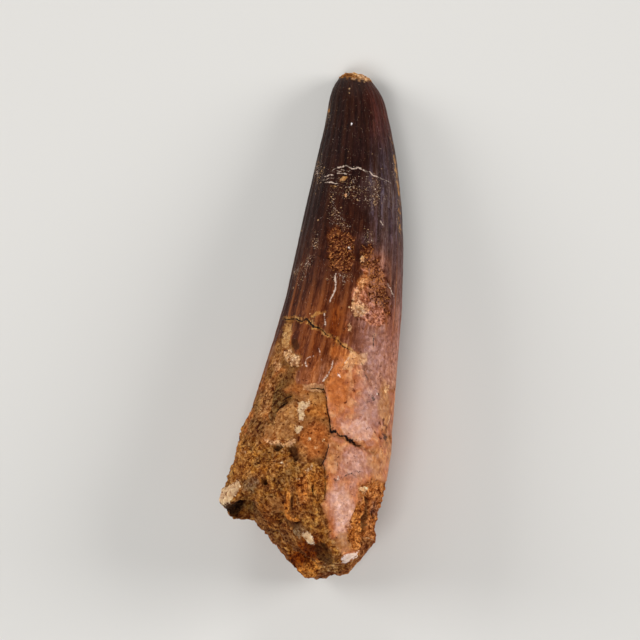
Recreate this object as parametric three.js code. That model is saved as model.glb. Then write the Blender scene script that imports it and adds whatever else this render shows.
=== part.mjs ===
// Spinosaurus tooth, lying down on its back side. Its curved crown is fluted, its worn root is broken to
// a blunt point, and sandy matrix is still cemented to the root's left. It is one closed solid.
// Millimetres: the tip points along +Y, the front face is up (+Z) and the tooth rests on Z = 0.
import * as THREE from 'three';
import { mergeVertices } from 'three/addons/utils/BufferGeometryUtils.js';
import { ImprovedNoise } from 'three/addons/math/ImprovedNoise.js';

// The tooth's edges, seen from above, from the broken root to the worn tip.
const edges = [
  { y: -30.0, left: -10.9, right: 6.8 },
  { y: -23.0, left: -10.7, right: 7.3 },
  { y: -21.2, left: -10.4, right: 7.75 },
  { y: -19.2, left: -9.95, right: 8.2 },
  { y: -17.2, left: -9.5, right: 8.45 },
  { y: -13.0, left: -8.0, right: 9.1 },
  { y: -5.0, left: -5.4, right: 9.8 },
  { y: 3.0, left: -3.05, right: 10.35 },
  { y: 11.0, left: -1.3, right: 10.5 },
  { y: 19.4, left: 0.5, right: 9.85 },
  { y: 25.0, left: 1.75, right: 8.85 },
  { y: 27.2, left: 2.1, right: 8.3 },
  { y: 28.8, left: 2.6, right: 7.45 },
  { y: 29.8, left: 3.15, right: 6.7 },
  { y: 30.45, left: 3.7, right: 5.9 },
];
const depthToWidth = { tip: 0.9, root: 0.82 }; // the section is a little flattened, front to back

// The underside arches up a little between the root and the crown's tip, and settles into two flats.
const archRise = 0.9;
const archMiddle = 3;
const archReach = 17;
const settle = 0.3;

// The root's break, seen from above: a lobe on the left, a step, then the blunt point.
const breakLine = [
  { x: -10.9, y: -21.3 },
  { x: -10.1, y: -22.0 },
  { x: -9.3, y: -22.4 },
  { x: -7.2, y: -22.3 },
  { x: -6.3, y: -22.6 },
  { x: -5.3, y: -23.6 },
  { x: -3.8, y: -24.4 },
  { x: -2.5, y: -26.5 },
  { x: -1.8, y: -27.4 },
  { x: -0.7, y: -28.3 },
  { x: 0.5, y: -28.8 },
  { x: 1.7, y: -28.8 },
  { x: 3.2, y: -28.4 },
  { x: 4.4, y: -28.0 },
  { x: 5.3, y: -27.2 },
  { x: 5.9, y: -25.9 },
  { x: 6.6, y: -25.0 },
  { x: 7.0, y: -24.0 },
  { x: 7.5, y: -21.0 },
];
const breakMiddle = 6.5; // height at which the break reaches furthest
const breakRounding = { under: 0.03, frontLeft: 0.042, frontRight: 0.022 }; // draws back from there
const tipCrown = 0.15; // the worn tip is a little crowned
const rimWear = 1.1; // radius worn onto the break's rim
const pulpHollow = { x: 0.2, z: 7.0, wide: 4.2, high: 3.0, deep: 2.6 };
const lobeHollow = { x: -8.3, z: 7.6, wide: 1.5, high: 3.3, deep: 4.0 };
const lobeLip = { shorter: 1.0, fromZ: 6, toZ: 10, fromX: 6.2, toX: 7.4 }; // the lobe's front ends sooner
const breakRough = { size: 0.9, grain: 2.6 }; // lumps of the break's face

// Mesh fineness: three faces to a flute, and closer rings over the rough root.
const flutes = 30;
const fluteStart = THREE.MathUtils.degToRad(3); // where the first flute's ridge lies
const facesPerFlute = 3;
const crownRings = 20;
const rootRings = 25;
const crownShare = 0.52; // part of the tooth's length that the crown rings cover
const rimTurns = [0.5, 1];
const endRings = [0.86, 0.72, 0.56, 0.38, 0.2, 0];

// Relief, as depths outwards from the smooth surface.
const fluteDepth = 0.17;
const enamelStep = 0.35; // the enamel sheet stands above the bare dentine
const enamelEdge = [
  { x: -7.4, y: -11.0 },
  { x: -6.4, y: -8.6 },
  { x: -3.8, y: -0.6 },
  { x: -3.1, y: 1.0 },
  { x: -2.4, y: -1.6 },
  { x: -1.2, y: -6.2 },
  { x: 1.5, y: -6.9 },
  { x: 2.2, y: -1.6 },
  { x: 4.2, y: -2.5 },
  { x: 6.0, y: -4.4 },
  { x: 7.4, y: -8.4 },
  { x: 10.5, y: -9.4 },
];
const backEnamelEdge = [
  { x: -7.0, y: -10.0 },
  { x: -2.5, y: -1.0 },
  { x: 1.5, y: -4.0 },
  { x: 5.0, y: -1.5 },
  { x: 10.0, y: -7.0 },
];
const roughness = { crown: 0.03, root: 0.14, matrix: 0.4, grain: 2.3 };

// The front's details lie on a view of the front face that is tipped a little to the root's end.
const viewTip = THREE.MathUtils.degToRad(10);
const viewHeight = 6;

// Hollows (negative) and lumps (positive) of the front: centre, half-sizes, slant in degrees, height.
const frontForms = [
  { x: 3.3, y: 9.1, across: 1.7, along: 2.6, slant: 0, height: -0.3 }, // pitted patch
  { x: 6.9, y: 4.8, across: 1.9, along: 4.6, slant: -12, height: -0.45 }, // pitted patch, long
  { x: 5.4, y: 1.9, across: 0.9, along: 1.1, slant: 0, height: 0.25 }, // pale ledge in it
  { x: -3.6, y: -10.2, across: 1.7, along: 3.2, slant: 12, height: 0.3 }, // matrix crust
  { x: -3.8, y: -14.2, across: 2.4, along: 0.9, slant: -8, height: -0.5 }, // undercut below it
  { x: 4.2, y: -17.0, across: 2.2, along: 5.0, slant: 0, height: 0.4 }, // smooth dentine strip
  { x: 4.0, y: -23.4, across: 1.3, along: 4.2, slant: 6, height: 0.35 }, // and its lower end
  { x: -5.4, y: -17.5, across: 0.7, along: 0.7, slant: 0, height: -0.9 }, // pit
  { x: -9.7, y: -19.3, across: 1.2, along: 1.3, slant: 20, height: 0.5 }, // pale lump of the lobe
  { x: -2.6, y: -20.0, across: 0.6, along: 1.7, slant: -12, height: 0.5 }, // raised sliver
  { x: -0.5, y: -24.2, across: 1.3, along: 1.0, slant: 0, height: 0.8 }, // pebble
  { x: 0.8, y: -25.8, across: 1.3, along: 1.4, slant: 0, height: -0.5 }, // pit beside it
  { x: 5.4, y: -22.8, across: 0.9, along: 1.8, slant: 0, height: -0.3 }, // split flank
];

// The same for the back, laid out seen from above.
const backForms = [
  { x: -4.6, y: -15.6, across: 3.0, along: 5.2, slant: 20, height: 0.95 }, // left foot of matrix
  { x: 4.6, y: -14.0, across: 2.9, along: 5.4, slant: -8, height: 0.95 }, // right foot of matrix
  { x: 0.2, y: -22.0, across: 2.6, along: 3.0, slant: 0, height: -0.6 },
  { x: -2.2, y: -6.0, across: 2.4, along: 4.6, slant: 15, height: -0.4 }, // enamel lost
  { x: 6.4, y: -4.6, across: 1.5, along: 3.6, slant: 6, height: -0.3 },
  { x: 3.2, y: 11.6, across: 1.2, along: 3.0, slant: 8, height: -0.25 }, // pitted patch
];

// Cracks of the front: the line, half-width and depth.
const cracks = [
  {
    line: [[-3.1, 1.0], [-0.2, 0.8], [1.7, -0.8], [4.2, -2.4], [5.6, -3.8]],
    halfWidth: 0.8,
    depth: 0.45,
  },
  {
    line: [[1.6, -6.7], [1.7, -9.0], [2.4, -11.9], [4.9, -13.0], [7.0, -14.3]],
    halfWidth: 0.7,
    depth: 0.6,
  },
  { line: [[2.4, -11.9], [3.6, -12.5], [5.4, -13.2]], halfWidth: 0.9, depth: 0.8 },
];

const noise = new ImprovedNoise();

function clamp01(value) {
  return THREE.MathUtils.clamp(value, 0, 1);
}

function curveThrough(points, along, across, Interpolant) {
  const places = Float32Array.from(points, (point) => point[along]);
  const values = Float32Array.from(points, (point) => point[across]);
  const curve = new Interpolant(places, values, 1);
  const last = places.length - 1;
  return (place) => curve.evaluate(THREE.MathUtils.clamp(place, places[0], places[last]))[0];
}

const leftEdge = curveThrough(edges, 'y', 'left', THREE.CubicInterpolant);
const rightEdge = curveThrough(edges, 'y', 'right', THREE.CubicInterpolant);
const breakAt = curveThrough(breakLine, 'x', 'y', THREE.LinearInterpolant);
const frontEnamelEdge = curveThrough(enamelEdge, 'x', 'y', THREE.LinearInterpolant);
const rearEnamelEdge = curveThrough(backEnamelEdge, 'x', 'y', THREE.CubicInterpolant);

// The oval section at a place along the tooth.
function sectionAt(y) {
  const left = leftEdge(y);
  const right = rightEdge(y);
  const halfWidth = (right - left) / 2;
  const rootward = (edges[edges.length - 1].y - y) / (edges[edges.length - 1].y - edges[0].y);
  const halfDepth = halfWidth * THREE.MathUtils.lerp(depthToWidth.tip, depthToWidth.root, rootward);
  const arch = Math.cos(Math.PI * (y - archMiddle) / archReach);
  const underside = archRise * (1 + arch) / 2 - settle;
  return { x: (left + right) / 2, z: underside + halfDepth, halfWidth, halfDepth };
}

// A round hollow in the break, deepest at its centre.
function sunk(hollow, x, z) {
  const far = Math.hypot((x - hollow.x) / hollow.wide, (z - hollow.z) / hollow.high);
  return hollow.deep * Math.exp(-(far ** 4));
}

// How far along the tooth the break lies, at a point of its face.
function breakFace(x, z) {
  const frontSide = THREE.MathUtils.smoothstep(x, -2.5, 3);
  const front = THREE.MathUtils.lerp(breakRounding.frontLeft, breakRounding.frontRight, frontSide);
  const rounding = z > breakMiddle ? front * clamp01((x + 9) / 3) : breakRounding.under;
  const drawnBack = rounding * (z - breakMiddle) ** 2;
  const { shorter, fromZ, toZ, fromX, toX } = lobeLip;
  const onLip = THREE.MathUtils.smoothstep(z, fromZ, toZ) * THREE.MathUtils.smoothstep(-x, fromX, toX);
  const hollows = sunk(pulpHollow, x, z) + sunk(lobeHollow, x, z);
  return breakAt(x) + drawnBack + shorter * onLip + hollows;
}

// Height of a hollow or lump: full near its centre, nothing past its outline.
function formHeight(form, x, y) {
  const slant = THREE.MathUtils.degToRad(form.slant);
  const across = (x - form.x) * Math.cos(slant) + (y - form.y) * Math.sin(slant);
  const along = (y - form.y) * Math.cos(slant) - (x - form.x) * Math.sin(slant);
  const far = Math.hypot(across / form.across, along / form.along);
  return form.height * THREE.MathUtils.smoothstep(1.25 - far, 0, 0.5);
}

function allForms(forms, x, y) {
  return forms.reduce((sum, form) => sum + formHeight(form, x, y), 0);
}

// Place along the tipped view of the front face.
function viewedAlong(y, z) {
  return y * Math.cos(viewTip) + (z - viewHeight) * Math.sin(viewTip);
}

function distanceToLine(line, x, y) {
  const point = new THREE.Vector3(x, y, 0);
  const nearest = new THREE.Vector3();
  let distance = Infinity;
  for (let i = 1; i < line.length; i += 1) {
    const from = new THREE.Vector3(...line[i - 1], 0);
    const to = new THREE.Vector3(...line[i], 0);
    new THREE.Line3(from, to).closestPointToPoint(point, true, nearest);
    distance = Math.min(distance, nearest.distanceTo(point));
  }
  return distance;
}

function crackDepth(crack, x, y) {
  const share = clamp01(1 - distanceToLine(crack.line, x, y) / crack.halfWidth);
  return crack.depth * share;
}

// How far the surface stands out from the smooth section at a point, by what covers the tooth there.
function reliefAt(point, angle, front) {
  const { x, y, z } = point;
  const faceY = front ? viewedAlong(y, z) : y;
  const enamelEdgeY = front ? frontEnamelEdge(x) : rearEnamelEdge(x);
  const enamel = THREE.MathUtils.smoothstep(faceY - enamelEdgeY, -0.5, 0.5);
  const matrix = THREE.MathUtils.smoothstep(1.5 - x, 0, 2) * THREE.MathUtils.smoothstep(-10 - y, 0, 4);
  const grain = roughness.grain;
  const lumps = noise.noise(x / grain, y / grain, z / grain) + 0.5 * noise.noise(x, y, z);
  const wear = THREE.MathUtils.lerp(roughness.root, roughness.matrix, matrix);
  const rough = THREE.MathUtils.lerp(wear, roughness.crown, enamel);
  const fluted = 0.12 + 0.88 * enamel;
  const formed = allForms(front ? frontForms : backForms, x, faceY);
  const cracked = front ? cracks.map((crack) => crackDepth(crack, x, faceY)) : [0];
  const fluteWave = Math.cos(flutes * (angle - fluteStart)) - 1;
  return (
    enamelStep * (enamel - 1) +
    fluteDepth * fluted * fluteWave / 2 +
    rough * lumps +
    formed -
    Math.max(...cracked)
  );
}

// The profile that is turned round the tooth: x is the share of the section's size and y the place, from
// 0 at the tip to 1 at the break's rim and on to 2, where the rim has turned in to the break's face.
function toothProfile() {
  const profile = [new THREE.Vector2(0, 0), new THREE.Vector2(0.55, 0)];
  for (let i = 0; i <= crownRings; i += 1) {
    profile.push(new THREE.Vector2(1, crownShare * (i / crownRings) ** 1.25));
  }
  for (let i = 1; i <= rootRings; i += 1) {
    profile.push(new THREE.Vector2(1, crownShare + (1 - crownShare) * i / rootRings));
  }
  for (const turn of rimTurns) {
    const inset = rimWear / 8 * (1 - Math.cos(turn * Math.PI / 2));
    profile.push(new THREE.Vector2(1 - inset, 1 + turn));
  }
  for (const share of endRings) {
    profile.push(new THREE.Vector2(share, 2));
  }
  return profile;
}

// Dents of the break's face, with the front's hollows and lumps where they run out onto it.
function breakDents({ x, y, z }) {
  const { size, grain } = breakRough;
  const formed = z > breakMiddle ? allForms(frontForms, x, viewedAlong(y, z)) : 0;
  return size * noise.noise(x / grain, 0.5, z / grain) - formed;
}

// Where a point of the turned profile lies on the tooth.
function placeOnTooth(share, along, angle) {
  const tipY = edges[edges.length - 1].y;
  const rootSection = sectionAt(breakAt(0));
  const rimX = rootSection.x + share * rootSection.halfWidth * Math.cos(angle);
  const rimZ = rootSection.z + share * rootSection.halfDepth * Math.sin(angle);
  const rimY = breakFace(rimX, rimZ) + rimWear;
  const y = THREE.MathUtils.lerp(tipY, rimY, Math.min(along, 1));
  const section = sectionAt(y);
  const point = new THREE.Vector3(
    section.x + share * section.halfWidth * Math.cos(angle),
    y,
    section.z + share * section.halfDepth * Math.sin(angle),
  );
  point.y -= rimWear * Math.sin(clamp01(along - 1) * Math.PI / 2);
  const outwards = new THREE.Vector3(
    Math.cos(angle) / section.halfWidth,
    0,
    Math.sin(angle) / section.halfDepth,
  ).normalize();
  if (share === 1) {
    point.addScaledVector(outwards, reliefAt(point, angle, Math.sin(angle) > 0));
  } else {
    point.y += along > 1 ? breakDents(point) : tipCrown * (1 - share);
  }
  point.z = Math.max(point.z, 0);
  return point;
}

// mergeVertices leaves the faces at the two poles with no width: this drops them.
function withoutThinFaces(geometry) {
  const index = geometry.getIndex().array;
  const kept = [];
  for (let i = 0; i < index.length; i += 3) {
    const [a, b, c] = index.slice(i, i + 3);
    if (a !== b && b !== c && c !== a) {
      kept.push(a, b, c);
    }
  }
  geometry.setIndex(kept);
  return geometry;
}

function makeTooth() {
  const turned = new THREE.LatheGeometry(toothProfile(), flutes * facesPerFlute, fluteStart);
  turned.deleteAttribute('normal');
  turned.deleteAttribute('uv');
  const geometry = withoutThinFaces(mergeVertices(turned, 1e-5));
  const places = geometry.getAttribute('position');
  for (let i = 0; i < places.count; i += 1) {
    const share = Math.hypot(places.getX(i), places.getZ(i));
    const angle = share > 0 ? Math.atan2(places.getX(i), places.getZ(i)) : 0;
    const point = placeOnTooth(share > 0.999 ? 1 : share, places.getY(i), angle);
    places.setXYZ(i, point.x, point.y, point.z);
  }
  geometry.computeBoundingBox();
  const middle = geometry.boundingBox.getCenter(new THREE.Vector3());
  geometry.translate(-middle.x, -middle.y, 0);
  geometry.computeVertexNormals();
  const fossil = new THREE.MeshStandardMaterial({ color: 0x8a4f2b, roughness: 0.5, metalness: 0 });
  const tooth = new THREE.Mesh(geometry, fossil);
  tooth.name = 'tooth';
  return tooth;
}

const spinosaurusTooth = new THREE.Group();
spinosaurusTooth.add(makeTooth());

export default spinosaurusTooth;
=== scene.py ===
import math
from types import SimpleNamespace

import bpy
import numpy as np
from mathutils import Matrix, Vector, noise


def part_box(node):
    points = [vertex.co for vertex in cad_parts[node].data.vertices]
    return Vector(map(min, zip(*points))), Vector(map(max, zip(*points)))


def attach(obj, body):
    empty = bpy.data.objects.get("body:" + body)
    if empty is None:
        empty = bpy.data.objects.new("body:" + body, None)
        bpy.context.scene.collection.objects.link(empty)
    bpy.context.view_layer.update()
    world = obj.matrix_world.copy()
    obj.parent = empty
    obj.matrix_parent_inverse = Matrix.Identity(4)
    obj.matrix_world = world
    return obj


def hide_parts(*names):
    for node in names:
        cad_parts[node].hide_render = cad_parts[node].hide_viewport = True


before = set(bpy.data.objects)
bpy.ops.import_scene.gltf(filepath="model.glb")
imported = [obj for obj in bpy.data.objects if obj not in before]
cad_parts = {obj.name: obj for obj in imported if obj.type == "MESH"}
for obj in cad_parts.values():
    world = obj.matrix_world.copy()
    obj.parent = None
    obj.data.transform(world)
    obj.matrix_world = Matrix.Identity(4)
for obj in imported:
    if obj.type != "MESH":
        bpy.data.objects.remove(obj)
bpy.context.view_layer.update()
mm = 0.001

# The camera looks down on the front face, tipped a little to the root's end.
camera = {
    "looksAt": (0.96, -0.24, 6.0),  # mm
    "height": 80,  # degrees above the floor
    "away": 900,  # mm
    "seen": 73.14,  # mm of width in view at the tooth
    "sensor": 36,
    "nearest": 50,  # mm from the camera at which things begin to show
}


def addCamera():
    up = math.radians(camera["height"])
    x, y, z = camera["looksAt"]
    spot = (x, y - camera["away"] * math.cos(up), z + camera["away"] * math.sin(up))
    bpy.ops.object.camera_add(location=[mm * c for c in spot], rotation=(math.pi / 2 - up, 0, 0))
    eye = bpy.context.object
    eye.name = "camera"
    eye.data.sensor_width = camera["sensor"]
    eye.data.lens = camera["sensor"] * camera["away"] / camera["seen"]
    eye.data.clip_start = camera["nearest"] * mm
    bpy.context.scene.camera = eye
    print("camera in place")


# The tooth, in mm on its own drawing: the tip points along +Y and the front face is up.
tooth = {
    "node": "tooth",
    "slot": "fossil",
    # y, left edge, right edge, seen from above
    "edges": [
        (-30.0, -10.9, 6.8), (-23.0, -10.7, 7.3), (-21.2, -10.4, 7.75), (-19.2, -9.95, 8.2),
        (-17.2, -9.5, 8.45), (-13.0, -8.0, 9.1), (-5.0, -5.4, 9.8), (3.0, -3.05, 10.35), (11.0, -1.3, 10.5),
        (19.4, 0.5, 9.85), (25.0, 1.75, 8.85), (27.2, 2.1, 8.3), (28.8, 2.6, 7.45), (29.8, 3.15, 6.7),
        (30.45, 3.7, 5.9),
    ],
    "depthToWidth": {"tip": 0.9, "root": 0.82},
    "arch": {"rise": 0.9, "middle": 3, "reach": 17, "settle": 0.3},
    # the break as x and y, seen from above
    "breakLine": [
        (-10.9, -21.3), (-10.1, -22.0), (-9.3, -22.4), (-7.2, -22.3), (-6.3, -22.6), (-5.3, -23.6),
        (-3.8, -24.4), (-2.5, -26.5), (-1.8, -27.4), (-0.7, -28.3), (0.5, -28.8), (1.7, -28.8), (3.2, -28.4),
        (4.4, -28.0), (5.3, -27.2), (5.9, -25.9), (6.6, -25.0), (7.0, -24.0), (7.5, -21.0),
    ],
    "breakMiddle": 6.5,  # height at which the break reaches furthest
    "breakRounding": {"under": 0.03, "frontLeft": 0.042, "frontRight": 0.022, "fromX": -2.5, "toX": 3},
    "lobe": {"edgeX": -9, "wide": 3, "shorter": 1.0, "fromZ": 6, "toZ": 10, "fromX": 6.2, "toX": 7.4},
    "tipCrown": 0.15,
    "rimWear": 1.1,
    "rimInset": 0.1375,  # share of the section's size that the worn rim draws in
    "pulpHollow": {"x": 0.2, "z": 7.0, "wide": 4.2, "high": 3.0, "deep": 2.6},
    "lobeHollow": {"x": -8.3, "z": 7.6, "wide": 1.5, "high": 3.3, "deep": 4.0},
    "breakRough": {"size": 0.9, "grain": 2.6, "shift": 0.4},
    # the mesh: faces round the cage and rings of it over each stretch, then subdivided
    "columns": 75,
    "tipRings": 3,
    "wallRings": 66,
    "rimRings": 3,
    "endRings": 10,
    "subdivisions": 2,
    "cageStep": 0.05,  # mm that each ring of the cage lies further along than its share of the length
    "smallestRing": 0.05,  # share of the section's size
    "weld": 0.0005,  # mm within which points are made one
    # the front's marks lie on a near view of the front face, tipped by some degrees to the root's end
    "view": {"tip": 10, "away": 900, "x": 0.96, "y": 0.72, "z": 6},
    # flutes: degrees round the tooth to the first, and share of a ridge that lies below the surface
    "flutes": {
        "count": 30, "start": 3, "height": 0.07, "width": 0.4, "level": 0.6,
        "wander": 0.08, "wanderSize": 6, "shift": 3.1,
    },
}

tipY = tooth["edges"][-1][0]
rootY = tooth["edges"][0][0]
ringsInAll = tooth["tipRings"] + tooth["wallRings"] + tooth["rimRings"] + tooth["endRings"]


def smooth(value, low, high):
    t = np.clip((value - low) / (high - low), 0, 1)
    return t * t * (3 - 2 * t)


def mix(a, b, share):
    return a + (b - a) * share


def softCurve(points, column, place):
    # a smooth curve through (place, values) rows, given at many places at once
    at = np.array([p[0] for p in points], dtype=float)
    value = np.array([p[column] for p in points], dtype=float)
    slope = np.diff(value) / np.diff(at)
    tangent = np.concatenate([slope[:1], (slope[1:] + slope[:-1]) / 2, slope[-1:]])
    place = np.clip(place, at[0], at[-1])
    i = np.clip(np.searchsorted(at, place) - 1, 0, len(at) - 2)
    span = at[i + 1] - at[i]
    t = (place - at[i]) / span
    rise = value[i + 1] - value[i]
    a = tangent[i] * span - rise
    b = rise - tangent[i + 1] * span
    return value[i] + t * rise + t * (1 - t) * (a * (1 - t) + b * t)


def straightCurve(points, place):
    return np.interp(place, [p[0] for p in points], [p[1] for p in points])


def sectionAt(y):
    left = softCurve(tooth["edges"], 1, y)
    right = softCurve(tooth["edges"], 2, y)
    halfWidth = (right - left) / 2
    rootward = (tipY - y) / (tipY - rootY)
    flat = tooth["depthToWidth"]
    halfDepth = halfWidth * mix(flat["tip"], flat["root"], rootward)
    arch = tooth["arch"]
    rise = arch["rise"] * (1 + np.cos(np.pi * (y - arch["middle"]) / arch["reach"])) / 2
    return (left + right) / 2, rise - arch["settle"] + halfDepth, halfWidth, halfDepth


def sunk(hollow, x, z):
    far = np.hypot((x - hollow["x"]) / hollow["wide"], (z - hollow["z"]) / hollow["high"])
    return hollow["deep"] * np.exp(-far ** 4)


def breakFace(x, z):
    rounding = tooth["breakRounding"]
    lobe = tooth["lobe"]
    rightward = smooth(x, rounding["fromX"], rounding["toX"])
    front = mix(rounding["frontLeft"], rounding["frontRight"], rightward)
    front = front * np.clip((x - lobe["edgeX"]) / lobe["wide"], 0, 1)
    drawnBack = np.where(z > tooth["breakMiddle"], front, rounding["under"]) * (z - tooth["breakMiddle"]) ** 2
    onLip = smooth(z, lobe["fromZ"], lobe["toZ"]) * smooth(-x, lobe["fromX"], lobe["toX"])
    hollows = sunk(tooth["pulpHollow"], x, z) + sunk(tooth["lobeHollow"], x, z)
    return straightCurve(tooth["breakLine"], x) + drawnBack + lobe["shorter"] * onLip + hollows


def ringPlace(ring):
    # share of the section's size, and place: 0 at the tip, 1 at the break's rim, 2 inside it
    firstWall = tooth["tipRings"]
    lastWall = firstWall + tooth["wallRings"]
    lastRim = lastWall + tooth["rimRings"]
    along = np.interp(ring, (firstWall, lastWall, lastRim), (0, 1, 2))
    turn = np.clip(along - 1, 0, 1)
    drawnIn = 1 - tooth["rimInset"] * (1 - np.cos(turn * np.pi / 2))
    return np.interp(ring, (0, firstWall, lastRim, ringsInAll), (0, 1, 1, 0)) * drawnIn, along


def placeOnTooth(share, along, angle):
    rimMiddleX, rimMiddleZ, rimWide, rimDeep = sectionAt(straightCurve(tooth["breakLine"], 0.0))
    rimX = rimMiddleX + share * rimWide * np.cos(angle)
    rimZ = rimMiddleZ + share * rimDeep * np.sin(angle)
    rimY = breakFace(rimX, rimZ) + tooth["rimWear"]
    y = mix(tipY, rimY, np.minimum(along, 1))
    x, z, halfWidth, halfDepth = sectionAt(y)
    x = x + share * halfWidth * np.cos(angle)
    z = z + share * halfDepth * np.sin(angle)
    y = y - tooth["rimWear"] * np.sin(np.clip(along - 1, 0, 1) * np.pi / 2)
    y = y + tooth["tipCrown"] * (1 - share) * (along < 0.5)
    return np.stack([x, y, z], axis=1), halfWidth


def noiseAt(points, size, shift=0.0):
    # one smooth random number from about -1 to 1 for each point, with lumps of that size
    x, y, z = (points / size + shift).T.tolist()
    return np.array([noise.noise(p) for p in zip(x, y, z)]) * 2


def pebblesAt(points, size, shift=0.0):
    # distance to the nearest and second nearest of scattered grains, as shares of their size
    x, y, z = (points / size + shift).T.tolist()
    return np.array([noise.voronoi(p)[0][:2] for p in zip(x, y, z)]).T


def tone(red, green, blue):
    # a display colour from 0 to 255 as linear light
    channels = np.array([red, green, blue]) / 255
    return np.where(channels <= 0.04045, channels / 12.92, ((channels + 0.055) / 1.055) ** 2.4)


tones = {
    # near white, for highlights painted on glossy chips and specks
    "glint": tone(244, 222, 208),
    "cream": tone(224, 198, 152),
    "bone": tone(206, 172, 132),
    "blush": tone(216, 168, 148),
    "peach": tone(212, 160, 112),
    "tan": tone(180, 132, 80),
    "amber": tone(202, 122, 50),
    "orange": tone(178, 98, 44),
    "ochre": tone(156, 98, 44),
    "rust": tone(114, 46, 3),
    "clay": tone(166, 111, 62),
    "olive": tone(104, 70, 34),
    "slate": tone(108, 84, 62),
    "mauve": tone(158, 110, 98),
    "plum": tone(92, 62, 60),
    "umber": tone(66, 36, 16),
    # dark brown for painted shade in hollows, pits and undercuts
    "char": tone(32, 18, 10),
}

# Borders that two kinds of surface share, as x and place along the tooth in the tipped view, in mm.
stripLeft = [
    (1.8, -17.6), (1.8, -19.7), (1.1, -20.3), (1.6, -21.3), (1.9, -22.4), (2.0, -23.4), (1.8, -24.0),
    (2.7, -24.4), (3.1, -25.0), (3.7, -26.1), (3.6, -26.8),
]
stripRight = [
    (6.2, -17.9), (5.2, -18.3), (5.6, -19.6), (4.9, -20.5), (4.5, -21.4), (4.0, -22.5), (4.2, -23.7),
    (4.1, -25.0), (5.4, -25.5),
]
ledgeFoot = [
    (8.4, 0.3), (7.3, 0.1), (6.1, 0.8), (5.5, 1.1), (4.7, 1.8), (4.7, 3.7),
]

# What lies where on the front face, drawn in the same view.
outlines = {
    "enamel": [
        (-12.7, 30.4), (17, 30.4), (17, -6.9), (9.1, -6.9), (8.6, -6.9), (8.3, -7.4), (7.7, -7.9),
        (6.9, -6.7), (6.4, -5.6), (5.9, -4.3), (5.6, -3.1), (4.5, -2.7), (3.9, -3.0), (3.3, -3.3),
        (2.8, -3.7), (2.2, -4.6), (1.8, -5.3), (1.3, -6.3), (1.6, -6.9), (0.6, -6.6), (-0.3, -6.6),
        (-1.6, -6.4), (-1.9, -5.8), (-1.8, -5.1), (-1.3, -4.3), (-1.1, -3.2), (-1.9, -2.9), (-2.2, -1.6),
        (-2.4, -0.8), (-2.3, 0), (-1.9, 0.7), (-2.9, 0.9), (-3.2, 0), (-4.0, -2.4), (-5.0, -4.5),
        (-5.9, -6.9), (-6.9, -9.3), (-12.7, -9.3),
    ],
    "patch": [
        [
            (1.9, 11.2), (2.9, 11.6), (4.4, 11.2), (5.0, 10.3), (4.8, 9.0), (5.0, 7.8), (4.7, 6.5),
            (3.9, 6.1), (2.7, 6.4), (1.7, 6.9), (1.5, 8.0), (1.9, 9.3), (1.7, 10.3),
        ],
        [
            (5.6, 8.9), (5.9, 9.6), (6.7, 9.8), (7.4, 9.2), (7.6, 7.9), (8.4, 6.2), (8.8, 4.3), (9.0, 2.9),
            (8.9, 1.5), *ledgeFoot, (5.1, 5.0), (5.8, 6.1),
        ],
    ],
    "ledge": [
        (5.6, 7.2), (6.2, 6.9), (6.5, 5.4), (6.5, 4.0), (7.0, 3.0), (8.4, 2.2), (8.8, 1.4), *ledgeFoot,
        (5.2, 5.2), (5.5, 6.2),
    ],
    "dentine": [
        [
            (1.7, -7.1), (2.3, -4.5), (2.8, -3.6), (3.4, -3.2), (4.0, -3.0), (4.7, -2.8), (5.6, -3.2),
            (5.9, -4.3), (6.4, -5.6), (6.9, -6.7), (7.7, -7.9), (8.6, -7.2), (13.6, -7.0), (13.6, -12.0),
            (9.0, -12.4), (8.7, -13.6), (7.9, -14.7), (7.0, -14.3), (4.9, -13.0), (3.5, -12.5),
            (2.4, -11.9), (2.1, -10.2), (1.7, -8.7),
        ],
        [
            (1.6, -15.4), (1.9, -13.2), (2.2, -12.3), (3.0, -12.4), (3.8, -12.9), (4.9, -13.4),
            (7.0, -14.4), (8.8, -13.0), (13.6, -12.8), (13.6, -17.2), (8.2, -17.8), (7.0, -17.2),
            *stripRight, (5.1, -26.2), (4.4, -26.5), (4.0, -27.0), *reversed(stripLeft),
        ],
    ],
    "matrix": [
        (-12.7, -11.7), (-8.6, -11.9), (-7.0, -12.3), (-6.1, -12.8), (-5.2, -13.3), (-4.2, -13.2),
        (-3.5, -13.1), (-2.9, -13.5), (-2.2, -13.3), (-1.6, -13.9), (-1.4, -15.0), (-0.6, -14.8),
        (0.3, -15.2), (1.2, -15.6), (1.6, -16.1), *stripLeft, (4.1, -27.6), (4.7, -33.6), (-12.7, -33.6),
    ],
    "flank": [
        (7.0, -17.2), (8.2, -17.8), (13.6, -17.0), (13.6, -31.3), (4.7, -31.3), (4.4, -26.5),
        *reversed(stripRight),
    ],
}

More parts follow.
